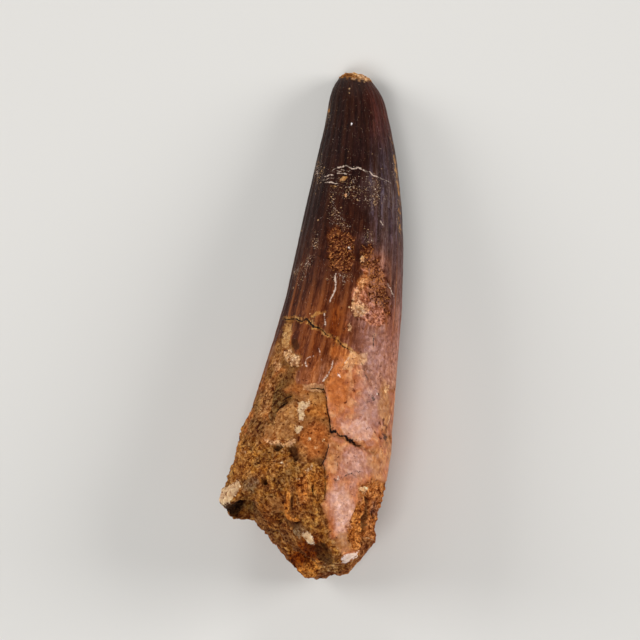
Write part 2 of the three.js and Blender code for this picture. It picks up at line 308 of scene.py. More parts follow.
# The back's, as x and y.
backOutlines = {
    "enamel": [
        (-12.7, 31), (17, 31), (17, -7.4), (9.0, -7.2), (7.4, -4.2), (6.1, -1.9), (5.0, -1.5), (3.4, -2.8),
        (1.5, -4.0), (-0.2, -3.3), (-1.6, -1.9), (-2.5, -1.0), (-4.1, -3.6), (-5.6, -7.2), (-7.4, -9.6),
        (-12.7, -9.8),
    ],
    "patch": [
        [
            (2.2, 8.9), (3.3, 8.6), (4.3, 9.8), (4.4, 12.2), (3.8, 14.3), (2.9, 14.6), (2.1, 12.9),
            (1.8, 10.6),
        ],
        [(5.4, 0.8), (6.6, 0.2), (7.6, 1.2), (7.4, 3.4), (6.5, 4.6), (5.5, 3.6), (5.0, 2.1)],
    ],
    "ledge": [(2.2, 9.2), (3.1, 9.0), (3.2, 10.4), (2.6, 11.2), (2.0, 10.4)],
    "dentine": [
        [
            (0.2, -3.8), (4.0, -2.6), (6.6, -3.4), (8.4, -7.0), (13.6, -7.0), (13.6, -17.0), (8.6, -16.4),
            (7.2, -14.4), (4.6, -15.2), (1.6, -13.6), (0.6, -9.0),
        ],
        [(-3.4, -3.2), (-1.4, -3.0), (-0.8, -6.4), (-1.8, -9.4), (-4.0, -9.6), (-4.8, -6.2)],
    ],
    "matrix": [
        (-12.7, -11.0), (-8.0, -11.2), (-5.8, -10.4), (-3.6, -11.2), (-1.8, -12.6), (0.2, -15.6),
        (2.4, -17.0), (4.0, -19.4), (4.6, -23.0), (4.4, -33.6), (-12.7, -33.6),
    ],
    "flank": [
        (2.6, -15.4), (7.6, -15.2), (8.8, -16.8), (13.6, -17.2), (13.6, -33.0), (4.4, -33.0), (4.6, -23.0),
        (4.0, -19.4),
    ],
}

# Plates, flakes and stains with a clear edge: tone, how much of it shows, height, grit and outline.
plates = [
    # tan sand in the gap left of the enamel's remnant, with cream lumps and a dark hole
    ("tan", 0.8, 0, 0.7, [
        (-3.0, 0.6), (-2.4, 0.5), (-2.5, -1.0), (-2.8, -2.2), (-3.5, -2.4), (-3.3, -0.8),
    ]),
    ("peach", 0.7, 0.1, 1.4, [
        (-3.2, -2.6), (-2.5, -2.4), (-1.9, -3.0), (-1.1, -3.5), (-1.5, -4.3), (-2.4, -4.4), (-2.9, -3.8),
    ]),
    ("peach", 0.4, 0.06, 1.4, [(-4.3, -3.9), (-3.5, -3.8), (-3.4, -4.6), (-4.2, -4.9)]),
    ("umber", 0.85, -0.12, 0.5, [(-2.2, -1.2), (-1.6, -1.2), (-1.3, -2.0), (-1.8, -2.6), (-2.3, -2.1)]),
    # pale lip over the crack below the remnant
    ("peach", 0.5, 0, 0.5, [
        (-1.1, -6.5), (0.4, -6.3), (1.4, -6.5), (1.7, -7.0), (0.9, -7.2), (-0.8, -7.1),
    ]),
    # crust: a smooth grey-brown lower part and a dark cracked upper part
    ("clay", 0.8, 0.2, 1.0, [
        (-4.1, -9.6), (-3.4, -9.2), (-2.8, -8.8), (-2.2, -8.6), (-1.6, -9.3), (-1.5, -10.3), (-1.8, -11.3),
        (-2.1, -12.3), (-2.8, -12.9), (-3.5, -12.9), (-4.0, -12.6), (-4.3, -11.6), (-4.2, -10.4),
    ]),
    ("olive", 0.75, 0.08, 1.7, [
        (-4.2, -6.9), (-3.4, -7.0), (-3.0, -7.5), (-2.2, -7.6), (-2.5, -8.1), (-3.0, -8.6), (-3.6, -9.0),
        (-4.1, -9.6), (-4.2, -10.4), (-4.8, -10.6), (-4.9, -9.7), (-4.6, -8.9), (-4.5, -7.9),
    ]),
    # pink lip round the crust's lower end, with dented undercuts below it painted dark as their shade
    ("peach", 0.75, 0.16, 0.8, [
        (-5.4, -12.6), (-4.6, -12.9), (-4.0, -12.8), (-3.4, -13.1), (-2.8, -13.1), (-2.1, -12.6),
        (-1.6, -12.7), (-2.1, -13.2), (-2.9, -13.5), (-3.5, -13.3), (-4.1, -13.1), (-4.7, -13.2),
        (-5.3, -13.0),
    ]),
    ("clay", 0.6, 0.05, 0.8, [(-5.5, -10.9), (-4.4, -11.1), (-4.3, -12.6), (-5.2, -12.8), (-5.6, -12.0)]),
    ("char", 0.8, -0.4, 0.6, [(-4.5, -13.3), (-3.5, -13.2), (-3.4, -13.6), (-3.9, -13.9), (-4.5, -13.7)]),
    ("umber", 0.8, -0.35, 0.9, [
        (-2.8, -13.5), (-2.1, -13.3), (-1.5, -13.7), (-1.4, -14.9), (-1.9, -15.3), (-2.3, -14.4),
    ]),
    # chalky lumps along the crust's right side
    ("bone", 0.9, 0.08, 0.5, [
        (-1.6, -8.4), (-0.9, -8.2), (-0.1, -8.4), (-0.3, -9.0), (-0.7, -9.4), (-0.7, -9.9), (-0.9, -10.5),
        (-1.3, -10.7), (-1.4, -10.2), (-1.35, -9.7), (-1.5, -9.2),
    ]),
    ("bone", 0.9, 0.1, 0.5, [
        (-1.5, -11.0), (-0.9, -11.4), (-1.3, -11.9), (-1.6, -12.0), (-1.85, -11.8), (-1.7, -11.3),
    ]),
    ("clay", 0.5, 0.06, 1.2, [(-1.4, -13.3), (-0.8, -13.2), (-0.3, -13.9), (-0.6, -14.7), (-1.2, -14.6)]),
    # raised sliver of dentine in the matrix, a lit ledge at its foot and shadow under both
    ("amber", 0.65, 0.32, 0.6, [
        (-2.5, -18.4), (-2.8, -18.9), (-2.95, -19.8), (-2.9, -20.8), (-3.2, -21.3), (-2.7, -21.8),
        (-1.8, -22.1), (-1.1, -22.1), (-1.2, -21.9), (-1.9, -21.7), (-2.4, -21.3), (-2.55, -20.6),
        (-2.5, -19.6),
    ]),
    ("clay", 0.55, 0.1, 0.8, [(-4.9, -19.4), (-3.4, -19.2), (-3.3, -21.2), (-4.5, -21.1)]),
    ("umber", 0.7, -0.15, 1.2, [
        (-2.35, -18.7), (-2.1, -18.9), (-2.1, -20.9), (-2.4, -21.1), (-2.5, -20.0),
    ]),
    ("umber", 0.75, -0.25, 1.2, [
        (-3.8, -21.9), (-2.8, -22.0), (-1.2, -22.2), (-1.2, -22.7), (-2.2, -23.0), (-3.5, -22.6),
    ]),
    # pebbles
    ("bone", 0.9, 0.25, 0.4, [
        (-0.8, -16.2), (-0.3, -15.9), (0.1, -15.5), (0.15, -15.8), (-0.3, -16.4), (-0.7, -16.5),
    ]),
    ("bone", 0.75, 0.2, 0.4, [
        (-0.9, -23.4), (-0.5, -23.25), (0.1, -23.8), (0.4, -24.3), (0.2, -24.6), (-0.2, -24.4),
        (-0.65, -23.9),
    ]),
    # pale lobe, and the hollow below it painted dark as its shade
    ("char", 0.8, 0, 1.2, [
        (-9.9, -20.4), (-9.0, -20.2), (-8.2, -20.3), (-7.4, -20.6), (-6.8, -21.2), (-7.2, -21.8),
        (-8.2, -21.7), (-9.0, -21.5), (-9.7, -21.2),
    ]),
    ("bone", 0.8, 0.12, 0.5, [
        (-8.6, -17.3), (-8.3, -17.6), (-8.4, -18.6), (-9.0, -19.6), (-9.5, -19.9), (-10.6, -20.4),
        (-10.8, -19.4), (-10.0, -18.5), (-9.4, -18.0),
    ]),
    # dark pits beside the strip's foot, and the glossy chip at its end with its highlight painted near white
    ("umber", 0.8, -0.45, 1.2, [
        (0.3, -24.7), (1.6, -24.6), (2.2, -25.4), (2.3, -26.6), (1.6, -27.1), (0.9, -26.4), (0.2, -25.6),
    ]),
    ("glint", 0.75, 0.15, 0.25, [
        (5.4, -25.4), (4.6, -25.7), (3.7, -26.2), (3.5, -26.8), (3.9, -27.1), (4.3, -26.5), (5.1, -26.2),
    ]),
    # split in the right flank with tan crumbs over it
    ("umber", 0.8, -0.35, 1.2, [
        (6.1, -19.0), (6.5, -19.4), (6.6, -21.4), (6.3, -23.2), (6.0, -24.2), (5.9, -22.4), (6.2, -20.8),
    ]),
    ("peach", 0.8, 0.2, 1.0, [(5.4, -18.1), (6.4, -18.3), (6.2, -19.0), (5.6, -18.9)]),
    # flakes of dentine above the wide crack
    ("blush", 0.45, 0.06, 0.5, [
        (3.4, -10.6), (4.3, -11.2), (5.2, -10.4), (6.3, -10.6), (7.2, -11.6), (6.6, -12.8), (5.2, -13.0),
        (3.9, -12.3), (3.3, -11.4),
    ]),
    # pale sand left on the lower left of the long bare patch
    ("peach", 0.35, 0.04, 1.5, [
        (5.2, 4.6), (5.9, 5.8), (6.5, 5.7), (6.2, 5.0), (5.7, 4.0), (5.5, 3.3), (6.4, 2.6), (6.6, 1.9),
        (5.5, 1.4), (4.9, 1.9), (4.7, 3.0), (4.9, 3.9),
    ]),
    # loose sand on the enamel below the crack
    ("peach", 0.65, 0.03, 1.0, [(4.1, 0.4), (4.5, 0.5), (4.7, 0.0), (4.5, -0.3), (4.2, -0.2)]),
    ("peach", 0.5, 0.02, 0.9, [
        (3.4, -4.7), (4.1, -3.7), (4.6, -2.6), (5.3, -3.0), (6.6, -2.9), (6.4, -3.7), (5.8, -4.2),
        (5.0, -4.2), (4.5, -5.0), (4.0, -4.8),
    ]),
]
backPlates = [
    ("clay", 0.6, 0.2, 0.5, [
        (-6.0, -7.4), (-4.8, -6.9), (-4.0, -8.0), (-4.4, -9.6), (-5.6, -9.8), (-6.4, -8.6),
    ]),
    ("peach", 0.5, 0.04, 0.3, [
        (1.0, -5.6), (2.4, -5.0), (3.6, -6.2), (3.0, -8.2), (1.6, -8.6), (0.8, -7.2),
    ]),
    ("umber", 0.7, -0.3, 1.2, [
        (-2.2, -16.4), (-0.8, -16.0), (0.6, -17.4), (0.2, -19.2), (-1.4, -19.6), (-2.6, -18.2),
    ]),
]

# Cracks: the groove's depth, the line, then pairs of a share of its length and the half-width there.
cracks = [
    (0.13, [
        (-3.2, 1.1), (-2.8, 1.0), (-1.7, 1.0), (-1.1, 0.85), (-0.6, 1.0), (-0.2, 0.6), (0.2, 0.2),
        (0.8, 0.05), (1.4, -0.35), (1.7, -0.75), (2.2, -0.85), (2.6, -1.2), (3.0, -1.4), (3.4, -1.9),
        (3.9, -2.2), (4.5, -2.5),
    ], [
        (0, 0.07), (0.15, 0.06), (0.2, 0.12), (0.3, 0.07), (0.42, 0.14), (0.5, 0.05), (0.6, 0.08),
        (0.7, 0.0), (0.82, 0.03), (0.88, 0.08), (0.95, 0.04), (1, 0),
    ]),
    (0.05, [(-0.6, 1.0), (0.4, 1.25), (1.0, 1.7), (1.7, 1.8)], [(0, 0.01), (0.5, -0.03), (1, -0.1)]),
    (0.04, [(4.5, -2.5), (5.2, -3.0), (5.9, -4.3), (6.3, -5.5), (6.9, -6.7)], [
        (0, -0.1), (0.4, 0.01), (0.8, 0.015), (1, -0.03),
    ]),
    (0.14, [
        (-0.9, -6.9), (0.4, -6.8), (1.4, -6.9), (1.7, -7.4), (1.75, -8.7), (1.9, -9.6), (2.1, -10.4),
        (2.2, -11.2), (2.3, -11.8),
    ], [(0, -0.05), (0.2, 0.05), (0.35, 0.07), (0.5, 0.04), (0.7, 0.07), (0.85, 0.05), (1, 0.08)]),
    (0.3, [
        (2.3, -11.9), (2.8, -11.75), (3.1, -12.1), (3.4, -12.35), (3.9, -12.3), (4.3, -12.75), (4.9, -12.9),
        (5.2, -13.35), (5.8, -13.4), (6.4, -13.8), (6.9, -14.0), (7.2, -14.7),
    ], [
        (0, 0.1), (0.06, 0.2), (0.14, 0.06), (0.3, 0.11), (0.46, 0.15), (0.56, 0.05), (0.8, 0.01),
        (1, -0.04),
    ]),
    (0.12, [(2.0, -13.2), (1.85, -13.9), (1.7, -14.6), (1.4, -15.5)], [(0, 0), (0.5, 0.09), (1, 0.06)]),
    (0.12, [(1.6, -15.7), (1.55, -16.9), (1.7, -18.2), (1.65, -19.4)], [
        (0, 0.03), (0.3, 0.05), (0.6, 0.0), (0.8, 0.02), (1, -0.04),
    ]),
    (0.16, [(0.3, -17.4), (0.25, -18.3), (0.35, -19.2)], [(0, 0.02), (0.5, 0.09), (1, 0.01)]),
    (0.1, [(-1.1, -16.9), (-1.05, -18.0), (-1.1, -19.1)], [(0, 0), (0.5, 0.03), (1, 0)]),
    (0.1, [(-2.3, -7.7), (-2.9, -8.0), (-3.3, -8.3)], [(0, 0.02), (0.5, 0.07), (1, 0.03)]),
    (0.15, [(-2.8, -8.4), (-3.1, -8.65), (-3.5, -8.95), (-4.2, -9.6)], [
        (0, 0.03), (0.4, 0.07), (0.7, 0.04), (1, 0.06),
    ]),
    (0.08, [(-5.4, -11.2), (-5.5, -12.2), (-5.6, -12.8)], [(0, -0.02), (0.5, 0.05), (1, 0)]),
    (0.2, [(7.4, -19.9), (7.2, -21.2), (7.5, -22.2)], [(0, 0.03), (0.5, 0.1), (1, 0.03)]),
    (0, [(8.95, 22.2), (9.35, 20.4), (9.68, 18.5), (9.93, 16.2), (10.12, 13), (10.24, 9.5)], [
        (0, -0.3), (0.2, -0.13), (0.5, -0.1), (0.7, -0.17), (0.85, -0.12), (1, -0.3),
    ]),
    (0.05, [(3.6, -17.1), (4.0, -16.7), (4.5, -16.6), (4.8, -16.9)], [(0, -0.02), (0.5, 0.03), (1, -0.02)]),
    (0.05, [(5.0, -16.3), (5.4, -16.6), (5.4, -17.1)], [(0, -0.02), (0.5, 0.02), (1, -0.02)]),
    (0.05, [(3.0, -15.3), (2.9, -16.0), (3.1, -16.8)], [(0, -0.03), (0.5, 0.02), (1, -0.03)]),
    (0.04, [(7.3, -0.7), (7.2, -1.4), (7.1, -2.3)], [(0, 0.0), (0.5, 0.04), (1, -0.02)]),
]
backCracks = [
    (0.16, [
        (9.6, 3.2), (8.2, 2.6), (7.0, 3.0), (5.2, 1.9), (3.6, 2.2), (1.9, 1.2), (0.4, 1.6), (-1.2, 0.9),
        (-2.6, 1.3),
    ], [(0, 0), (0.3, 0.06), (0.6, 0.03), (0.8, 0.08), (1, 0)]),
    (0.3, [(2.2, -4.4), (2.6, -6.8), (2.2, -9.2), (3.0, -11.4), (2.8, -14.0), (3.4, -16.8)], [
        (0, 0), (0.3, 0.07), (0.6, 0.12), (0.8, 0.05), (1, 0),
    ]),
    (0.2, [(3.0, -11.4), (4.6, -11.9), (6.2, -11.2), (7.6, -12.0)], [(0, 0.08), (0.5, 0.05), (1, 0)]),
]

# Fine pale lines of the enamel, drawn the same way.
scratches = [
    (0, [
        (2.2, 17.9), (2.9, 18.3), (3.5, 18.35), (4.1, 18.55), (4.7, 18.2), (5.4, 18.25), (6.1, 17.9),
        (6.7, 17.8), (7.2, 17.4), (8.0, 17.2), (9.1, 16.5),
    ], [
        (0, -0.02), (0.15, 0.06), (0.3, 0.03), (0.45, 0.07), (0.6, 0.03), (0.7, 0.06), (0.85, 0.0), (1, 0),
    ]),
    (0, [(1.3, 17.2), (2.0, 17.4), (2.6, 17.35)], [(0, 0.0), (0.5, 0.07), (1, 0.02)]),
    (0, [(3.0, 17.6), (3.8, 17.7), (4.4, 17.5)], [(0, 0.02), (0.5, 0.05), (1, 0)]),
    (0, [(1.6, 16.6), (2.4, 16.65), (3.2, 16.5)], [(0, 0.02), (0.5, 0.05), (1, 0)]),
    (0, [(2.9, 6.3), (2.8, 5.7), (2.8, 5.1), (2.7, 4.2), (2.4, 3.6), (2.1, 2.9)], [
        (0, 0.02), (0.2, 0.09), (0.5, 0.05), (0.8, 0.06), (1, 0.02),
    ]),
    (0, [(1.5, 1.7), (1.6, 1.1), (1.6, 0.2)], [(0, 0.06), (0.5, 0.03), (1, 0.06)]),
    (0, [(2.4, -3.8), (2.3, -4.5), (1.9, -5.3), (1.3, -6.1)], [(0, 0.05), (0.5, 0.05), (1, 0.1)]),
    (0, [(0.9, -2.4), (1.0, -2.8), (0.9, -3.4)], [(0, 0.04), (0.5, 0.02), (1, 0.0)]),
    (0, [(0.3, -3.1), (-0.5, -3.5), (-0.7, -4.0), (-0.5, -4.4)], [(0, 0), (0.5, 0.04), (1, 0.05)]),
    (0, [(8.7, 5.2), (9.1, 4.4), (9.5, 3.5)], [(0, 0.02), (0.5, 0.03), (1, 0.02)]),
    (0, [(3.6, -4.3), (4.0, -3.8), (4.4, -3.4)], [(0, 0.0), (1, 0.05)]),
    (0, [(7.9, 12.4), (8.2, 11.5)], [(0, 0.01), (1, 0.01)]),
]
backScratches = [
    (0, [(8.6, 18.6), (7.0, 19.0), (5.4, 18.6), (3.9, 19.1)], [(0, 0), (0.5, 0.04), (1, 0.02)]),
    (0, [(6.2, 12.4), (6.4, 10.8), (6.1, 9.6)], [(0, 0), (0.5, 0.04), (1, 0.01)]),
]

# Lumps and pits: x, place, half-size across and along, slant in degrees, height.
frontForms = [
    (-3.8, -14.2, 2.4, 0.9, -8, -0.3), (-5.4, -17.5, 0.35, 0.5, 0, -0.8), (-9.5, -19.2, 0.9, 1.1, 20, 0.3),
    (0.8, -25.8, 1.3, 1.4, 0, -0.3), (5.4, -22.8, 0.9, 1.8, 0, -0.2), (-1.2, -24.6, 1.6, 1.6, 0, -0.22),
]
backForms = [
    (-4.6, -15.6, 3.0, 5.2, 20, 0.95), (4.6, -14.0, 2.9, 5.4, -8, 0.95), (0.2, -22.0, 2.6, 3.0, 0, -0.6),
    (-2.2, -6.0, 2.4, 4.6, 15, -0.4), (6.4, -4.6, 1.5, 3.6, 6, -0.3),
]

# Small clear-edged spots: x, place, half-size across and along, slant, tone. The near-white ones are painted
# highlights.
spots = [
    # the first spot is painted shade in a pit
    (-5.4, -17.5, 0.24, 0.42, 5, "char"), (-4.6, -24.5, 0.5, 0.12, -8, "umber"),
    (-4.7, -24.15, 0.22, 0.14, 30, "cream"), (1.8, -28.6, 0.3, 0.4, -20, "cream"),
    (2.4, -27.5, 0.3, 0.22, 20, "bone"), (2.9, -28.1, 0.28, 0.2, 0, "bone"),
    (1.5, -27.2, 0.3, 0.16, 30, "bone"), (4.5, -26.8, 0.26, 0.28, 0, "umber"),
    (6.6, -24.2, 0.2, 0.2, 0, "cream"), (1.4, -12.75, 0.2, 0.12, 20, "cream"),
    (0.6, -13.6, 0.26, 0.13, 15, "peach"), (-0.2, -12.6, 0.1, 0.1, 0, "cream"),
    (-1.4, -17.2, 0.18, 0.14, 40, "cream"), (-3.45, -15.4, 0.1, 0.1, 0, "bone"),
    (-7.6, -14.2, 0.12, 0.1, 0, "bone"), (3.2, -5.4, 0.16, 0.12, -30, "glint"),
    (3.0, -17.2, 0.12, 0.16, 0, "glint"), (2.7, -17.6, 0.16, 0.1, 0, "umber"),
    (3.7, 17.1, 0.42, 0.22, 35, "tan"), (3.9, 15.1, 0.2, 0.2, 0, "peach"),
    (4.7, 23.3, 0.09, 0.12, 0, "glint"), (2.6, 16.2, 0.2, 0.14, 0, "tan"),
    (1.3, 22.9, 0.16, 0.26, -25, "tan"), (2.0, 24.8, 0.1, 0.2, -20, "ochre"),
    (4.3, 9.2, 0.12, 0.14, 0, "glint"), (5.9, 7.9, 0.3, 0.3, 0, "peach"), (4.9, 2.6, 0.25, 0.5, 0, "peach"),
    (5.6, 2.1, 0.5, 0.4, 20, "tan"), (5.1, 1.6, 0.4, 0.22, -20, "peach"),
    (6.1, -18.4, 0.3, 0.2, 0, "cream"), (7.1, -8.1, 0.1, 0.24, 25, "umber"),
    (6.6, -8.4, 0.08, 0.16, -30, "umber"), (7.5, -7.6, 0.14, 0.1, 0, "glint"),
    (8.7, -6.9, 0.16, 0.5, -14, "peach"), (8.9, -10.4, 0.12, 0.5, -6, "peach"),
    (8.4, -12.4, 0.2, 0.3, 0, "umber"),
]

# Places with more sand specks on the enamel: x, place, half-size across and along, slant.
dustySpots = [
    (-0.6, 7.0, 0.7, 2.2, -25), (4.6, 16.0, 1.8, 1.6, 0), (7.2, 15.4, 1.9, 2.4, 10),
    (2.4, 14.6, 0.7, 1.8, 0), (0.8, 17.8, 0.9, 2.4, 0), (2.6, 13.0, 1.0, 1.6, 0),
    (1.9, 24.4, 0.5, 1.8, -10), (-1.7, 6.4, 0.5, 1.0, -30), (3.4, 5.8, 1.6, 0.9, 0),
    (3.4, 11.9, 1.5, 0.9, 0), (6.6, 10.3, 0.7, 1.2, 10), (-0.9, 15.6, 0.5, 3.6, -14),
    (9.9, 12.8, 0.3, 2.4, 6), (9.6, 18.0, 0.3, 2.2, 6), (0.4, 9.8, 0.5, 1.2, 0),
]
# Where dark pits gather in the smoother parts.
pittedSpots = [
    (0.1, -11.2, 1.3, 0.9, 15), (-6.3, -11.6, 0.8, 1.4, 10), (-4.6, -8.2, 1.0, 1.6, 0),
    (-2.6, -5.9, 1.4, 0.8, 20), (3.4, -17.3, 1.7, 0.7, -10), (7.0, -8.0, 0.9, 0.6, 0),
    (8.2, -12.0, 0.6, 1.8, 0), (-3.4, -27.0, 1.4, 1.6, -40),
]

# Soft stains: x, place, half-size across and along, slant, tone, share.
stains = [
    (7.0, 5.0, 1.6, 3.8, -12, "mauve", 0.25), (7.0, 5.0, 1.6, 3.8, -12, "orange", 0.3),
    (7.0, 2.0, 1.6, 1.6, 0, "mauve", 0.3), (5.5, 2.0, 0.6, 0.6, 0, "cream", 0.45),
    (5.9, 5.4, 0.6, 1.0, -15, "amber", 0.5), (3.2, -2.7, 1.0, 0.9, 10, "orange", 0.8),
    (4.6, -3.8, 1.4, 0.9, 25, "amber", 0.45), (3.0, -6.8, 1.4, 2.6, 0, "orange", 0.85),
    (3.0, 0.6, 1.2, 2.2, 8, "rust", 0.4), (7.4, -5.4, 1.7, 3.4, 8, "mauve", 0.4),
    (6.8, -9.4, 1.6, 2.6, 0, "mauve", 0.7), (8.4, -9.0, 0.7, 3.0, 4, "clay", 0.7),
    (4.9, -11.2, 1.7, 0.9, -10, "blush", 0.3), (4.9, -15.4, 2.0, 2.0, 0, "mauve", 0.5),
    (4.9, -15.6, 1.6, 1.4, 0, "blush", 0.2), (2.6, -14.4, 0.9, 1.6, 0, "clay", 0.5),
    (3.3, -20.6, 1.4, 2.8, 4, "blush", 0.65), (2.2, -22.0, 0.4, 2.4, 4, "orange", 0.6),
    (3.6, -24.4, 0.9, 1.2, 0, "clay", 0.8), (-3.9, -3.2, 0.8, 1.7, -20, "clay", 0.35),
    (-3.2, -6.0, 1.6, 1.0, 20, "olive", 0.6), (-5.3, -8.2, 0.7, 2.4, -16, "clay", 0.7),
    (0.6, -8.8, 1.3, 1.5, 0, "amber", 0.5), (-0.2, -8.0, 1.6, 0.6, 0, "tan", 0.4),
    (0.3, -12.8, 1.8, 2.0, 0, "orange", 0.75), (-6.4, -11.6, 0.9, 1.4, 10, "olive", 0.6),
    # the umber at (-1.9, -14.4) is painted shade under the crust's lip
    (-7.9, -15.6, 0.9, 1.8, -20, "ochre", 0.7), (-1.9, -14.4, 0.7, 1.0, 0, "umber", 0.4),
    (0.2, -17.6, 1.9, 1.9, 0, "amber", 0.5), (-0.9, -18.4, 0.7, 1.6, 0, "orange", 0.6),
    (-7.0, -17.8, 0.9, 0.9, 0, "slate", 0.6), (-6.8, -20.4, 1.6, 0.9, -30, "olive", 0.5),
    (-5.2, -21.2, 1.6, 1.4, -30, "rust", 0.45), (-1.4, -23.2, 0.9, 0.8, -20, "slate", 0.6),
    (0.4, -21.8, 1.4, 1.4, 0, "ochre", 0.5), (-1.0, -26.0, 1.5, 3.4, -42, "rust", 0.95),
    (0.0, -27.4, 1.3, 1.0, 0, "amber", 0.75), (2.2, -27.6, 1.2, 1.0, 0, "tan", 0.8),
    (7.3, -15.4, 0.9, 2.0, 0, "tan", 0.35), (8.2, -12.8, 0.7, 1.0, 0, "rust", 0.3),
    (5.2, -22.6, 0.9, 2.4, 0, "amber", 0.45), (7.2, -20.6, 0.5, 1.0, 0, "plum", 0.5),
    (9.2, -9.6, 0.5, 3.0, 2, "rust", 0.35), (8.8, -14.2, 0.5, 2.6, 4, "clay", 0.6),
    (-9.9, -19.9, 0.7, 1.2, 20, "blush", 0.6), (9.0, 0.4, 0.6, 2.4, 4, "rust", 0.4),
]

# Colours of the whole surface. Down the crown, they change from its left over its middle to its right, whose
# lighter, greyer tones are partly its own colour and partly a painted sheen.
colours = {
    "crown": {
        "left": [
            (-9, tone(104, 62, 38)), (-3, tone(76, 36, 17)), (3, tone(50, 17, 4)), (7, tone(45, 17, 7)),
            (12.5, tone(34, 15, 10)), (20, tone(28, 13, 10)), (28, tone(24, 8, 5)),
        ],
        "middle": [
            (-6.5, tone(146, 84, 50)), (-3, tone(101, 46, 17)), (2, tone(94, 43, 17)), (6, tone(64, 27, 12)),
            (12.6, tone(42, 14, 5)), (20, tone(34, 12, 7)), (28, tone(32, 10, 5)),
        ],
        # partly the enamel's own mauve, partly a painted sheen of light from the right
        "right": [
            (-6.5, tone(168, 108, 79)), (-2, tone(156, 102, 84)), (4, tone(98, 60, 50)),
            (11, tone(65, 43, 41)), (15, tone(69, 50, 49)), (20, tone(48, 30, 30)), (24, tone(64, 27, 19)),
            (28, tone(50, 17, 9)),
        ],
    },
    "bare": tone(138, 86, 44),
    "sand": tone(158, 96, 36),
    "dentine": tone(182, 106, 62),
    "flank": tone(178, 104, 50),
    "patch": tone(84, 38, 18),
    "ledge": tone(184, 110, 76),
    "wallOfBreak": tone(140, 82, 44),
    "pulpFill": tone(126, 78, 40),
}

# Clouds of other tones in three kinds of surface: pattern, its side, from, to, tone, share.
clouds = {
    "sand": [
        ("patchy", 1, 0.1, 0.5, "olive", 0.4), ("patchy", -1, 0.1, 0.5, "rust", 0.5),
        ("cloudy", -1, 0.05, 0.5, "clay", 0.6), ("cloudy", 1, 0.25, 0.6, "slate", 0.25),
    ],
    "dentine": [("cloudy", 1, 0.1, 0.5, "mauve", 0.35), ("cloudy", -1, 0.15, 0.55, "peach", 0.35)],
    "bare": [("patchy", 1, 0.15, 0.5, "olive", 0.5), ("patchy", -1, 0.15, 0.5, "orange", 0.4)],
}

# How the colours meet, as (from, to): in mm, or on the crown in shares of its half-width.
meeting = {
    "dentine": (-0.3, 0.3),
    "flank": (-0.6, 0.6),
    "matrix": (-0.25, 0.3),
    "enamel": {"soft": 0.1, "faded": 0.9},
    "left": (0.4, 0.9),
    # where the right's own colour and painted sheen take over, and how much of them the back has
    "right": (0.1, 0.6),
    "rightOnBack": 0.4,
    "uneven": 0.12,
    "stains": (-0.3, 0.4),
    "tipDust": 0.9,
    "tipPaleFrom": (4.6, 5.6),
    "tipPale": 0.8,
    "pulpReach": 0.62,  # share of the break's size
    "pulpEdge": (-0.1, 0.1),
    # painted shade in the lobe's hollow and in the pits: depth at which it starts and is full, and its
    # strength
    "lobeDepth": (0.3, 1.6),
    "lobeShadeStrength": 0.9,
    "pitDepth": (0.25, 0.9),
    "pitShadeStrength": 0.8,
    "patchy": {"size": 1.7, "shift": 5.9},
    "cloudy": {"size": 0.8, "shift": 8.3},
    "crustFrom": (2.5, 4),  # mm left of the middle
    "unflutedGrit": 0.6,  # share of the ledge's grit where the enamel's flutes have ended
}

# Grit of each kind of surface: how strongly its grains differ in brightness.
grit = {
    "enamel": 0.2, "patch": 2.8, "ledge": 1.7, "dentine": 0.7,
    "bare": 0.9, "crust": 1.6, "sand": 1.9, "flank": 1.8,
}

# How the marks are laid on the surface, in mm, with limits as (from, to).
laying = {
    "wobbles": ((0.17, 1.2, 0), (0.08, 0.45, 5)),  # how far a border strays, size of the waves, shift
    "wobbleShifts": (0.3, 31.7),  # across and along
    "nearWobble": 0.4,  # share of it that cracks and plates have
    "patchEdge": {"stray": 0.25, "size": 0.5, "shift": 12.7},
    # how gently each kind of surface begins
    "enamel": (-0.1, 0.1),
    "dentine": (-0.15, 0.25),
    "matrix": (-0.2, 0.3),
    "flank": (-0.2, 0.3),
    "patch": (-0.15, 0.25),
    "ledge": (-0.2, 0.2),
    # where a side begins, by how far the surface faces the view
    "front": (-0.1, 0.1),
    "seen": (-0.12, 0.12),
    "endFacing": 0.4,
    "endEdge": (0, 0.15),
    # and by place: 1 at the break's rim, 2 inside it
    "wall": (1.0, 1.5),
    "end": (1.3, 1.8),
    "endDepth": 2.0,  # how deep the end lies inside the matrix and outside the other kinds
    "endNoCrack": 0.3,  # shares of the end past which no crack and no plate shows
    "endNoPlate": 0.5,
    "lineReach": 0.6,  # past this distance a line stops counting
    "lineFall": 20,  # and its width falls by this much with each mm
    "lineEnd": 0.001,  # share of its length that counts as its end
    # limits of the values that the material reads, the first of them where there is no mark
    "keptSide": (-2, 2),
    "keptWidth": (-2, 1),
    "keptEdge": (-1, 1),
    "grooveLip": 0.12,  # a groove is this much wider than its crack
    "grooveFlank": 1.6,  # and its walls slope out to this share of its half-width
    "sideGap": (0, 0.15),  # grooves end where the surface faces sideways
    "formEdge": {"reach": 1.25, "slope": 0.5},  # lumps and pits level out here, as shares of their size
    "plateSlope": (-0.12, 0.2),
    "plateEdge": (-0.1, 0.1),
    "plateGap": (0, 0.2),  # and plates are flat there
    "rim": {"below": 8, "wall": 0.9},  # under the break's rim no plate shows
    "spot": {"share": 0.9, "height": 0, "grit": 0.5},
    # specks and pits gather from outside their ovals' edges, below 0, towards the middles
    "dusty": (-0.3, 0.7),
    "pitted": (-0.4, 0.5),
    "pitsIn": {"matrix": 0.6, "bare": 0.3, "flank": 0.5},
    "mostPits": 1.2,
    "plateDulls": 0.7,  # share of the enamel's gloss that a plate takes
    "roundLength": 8,  # mm along the tooth that the streaks count as one radius
}

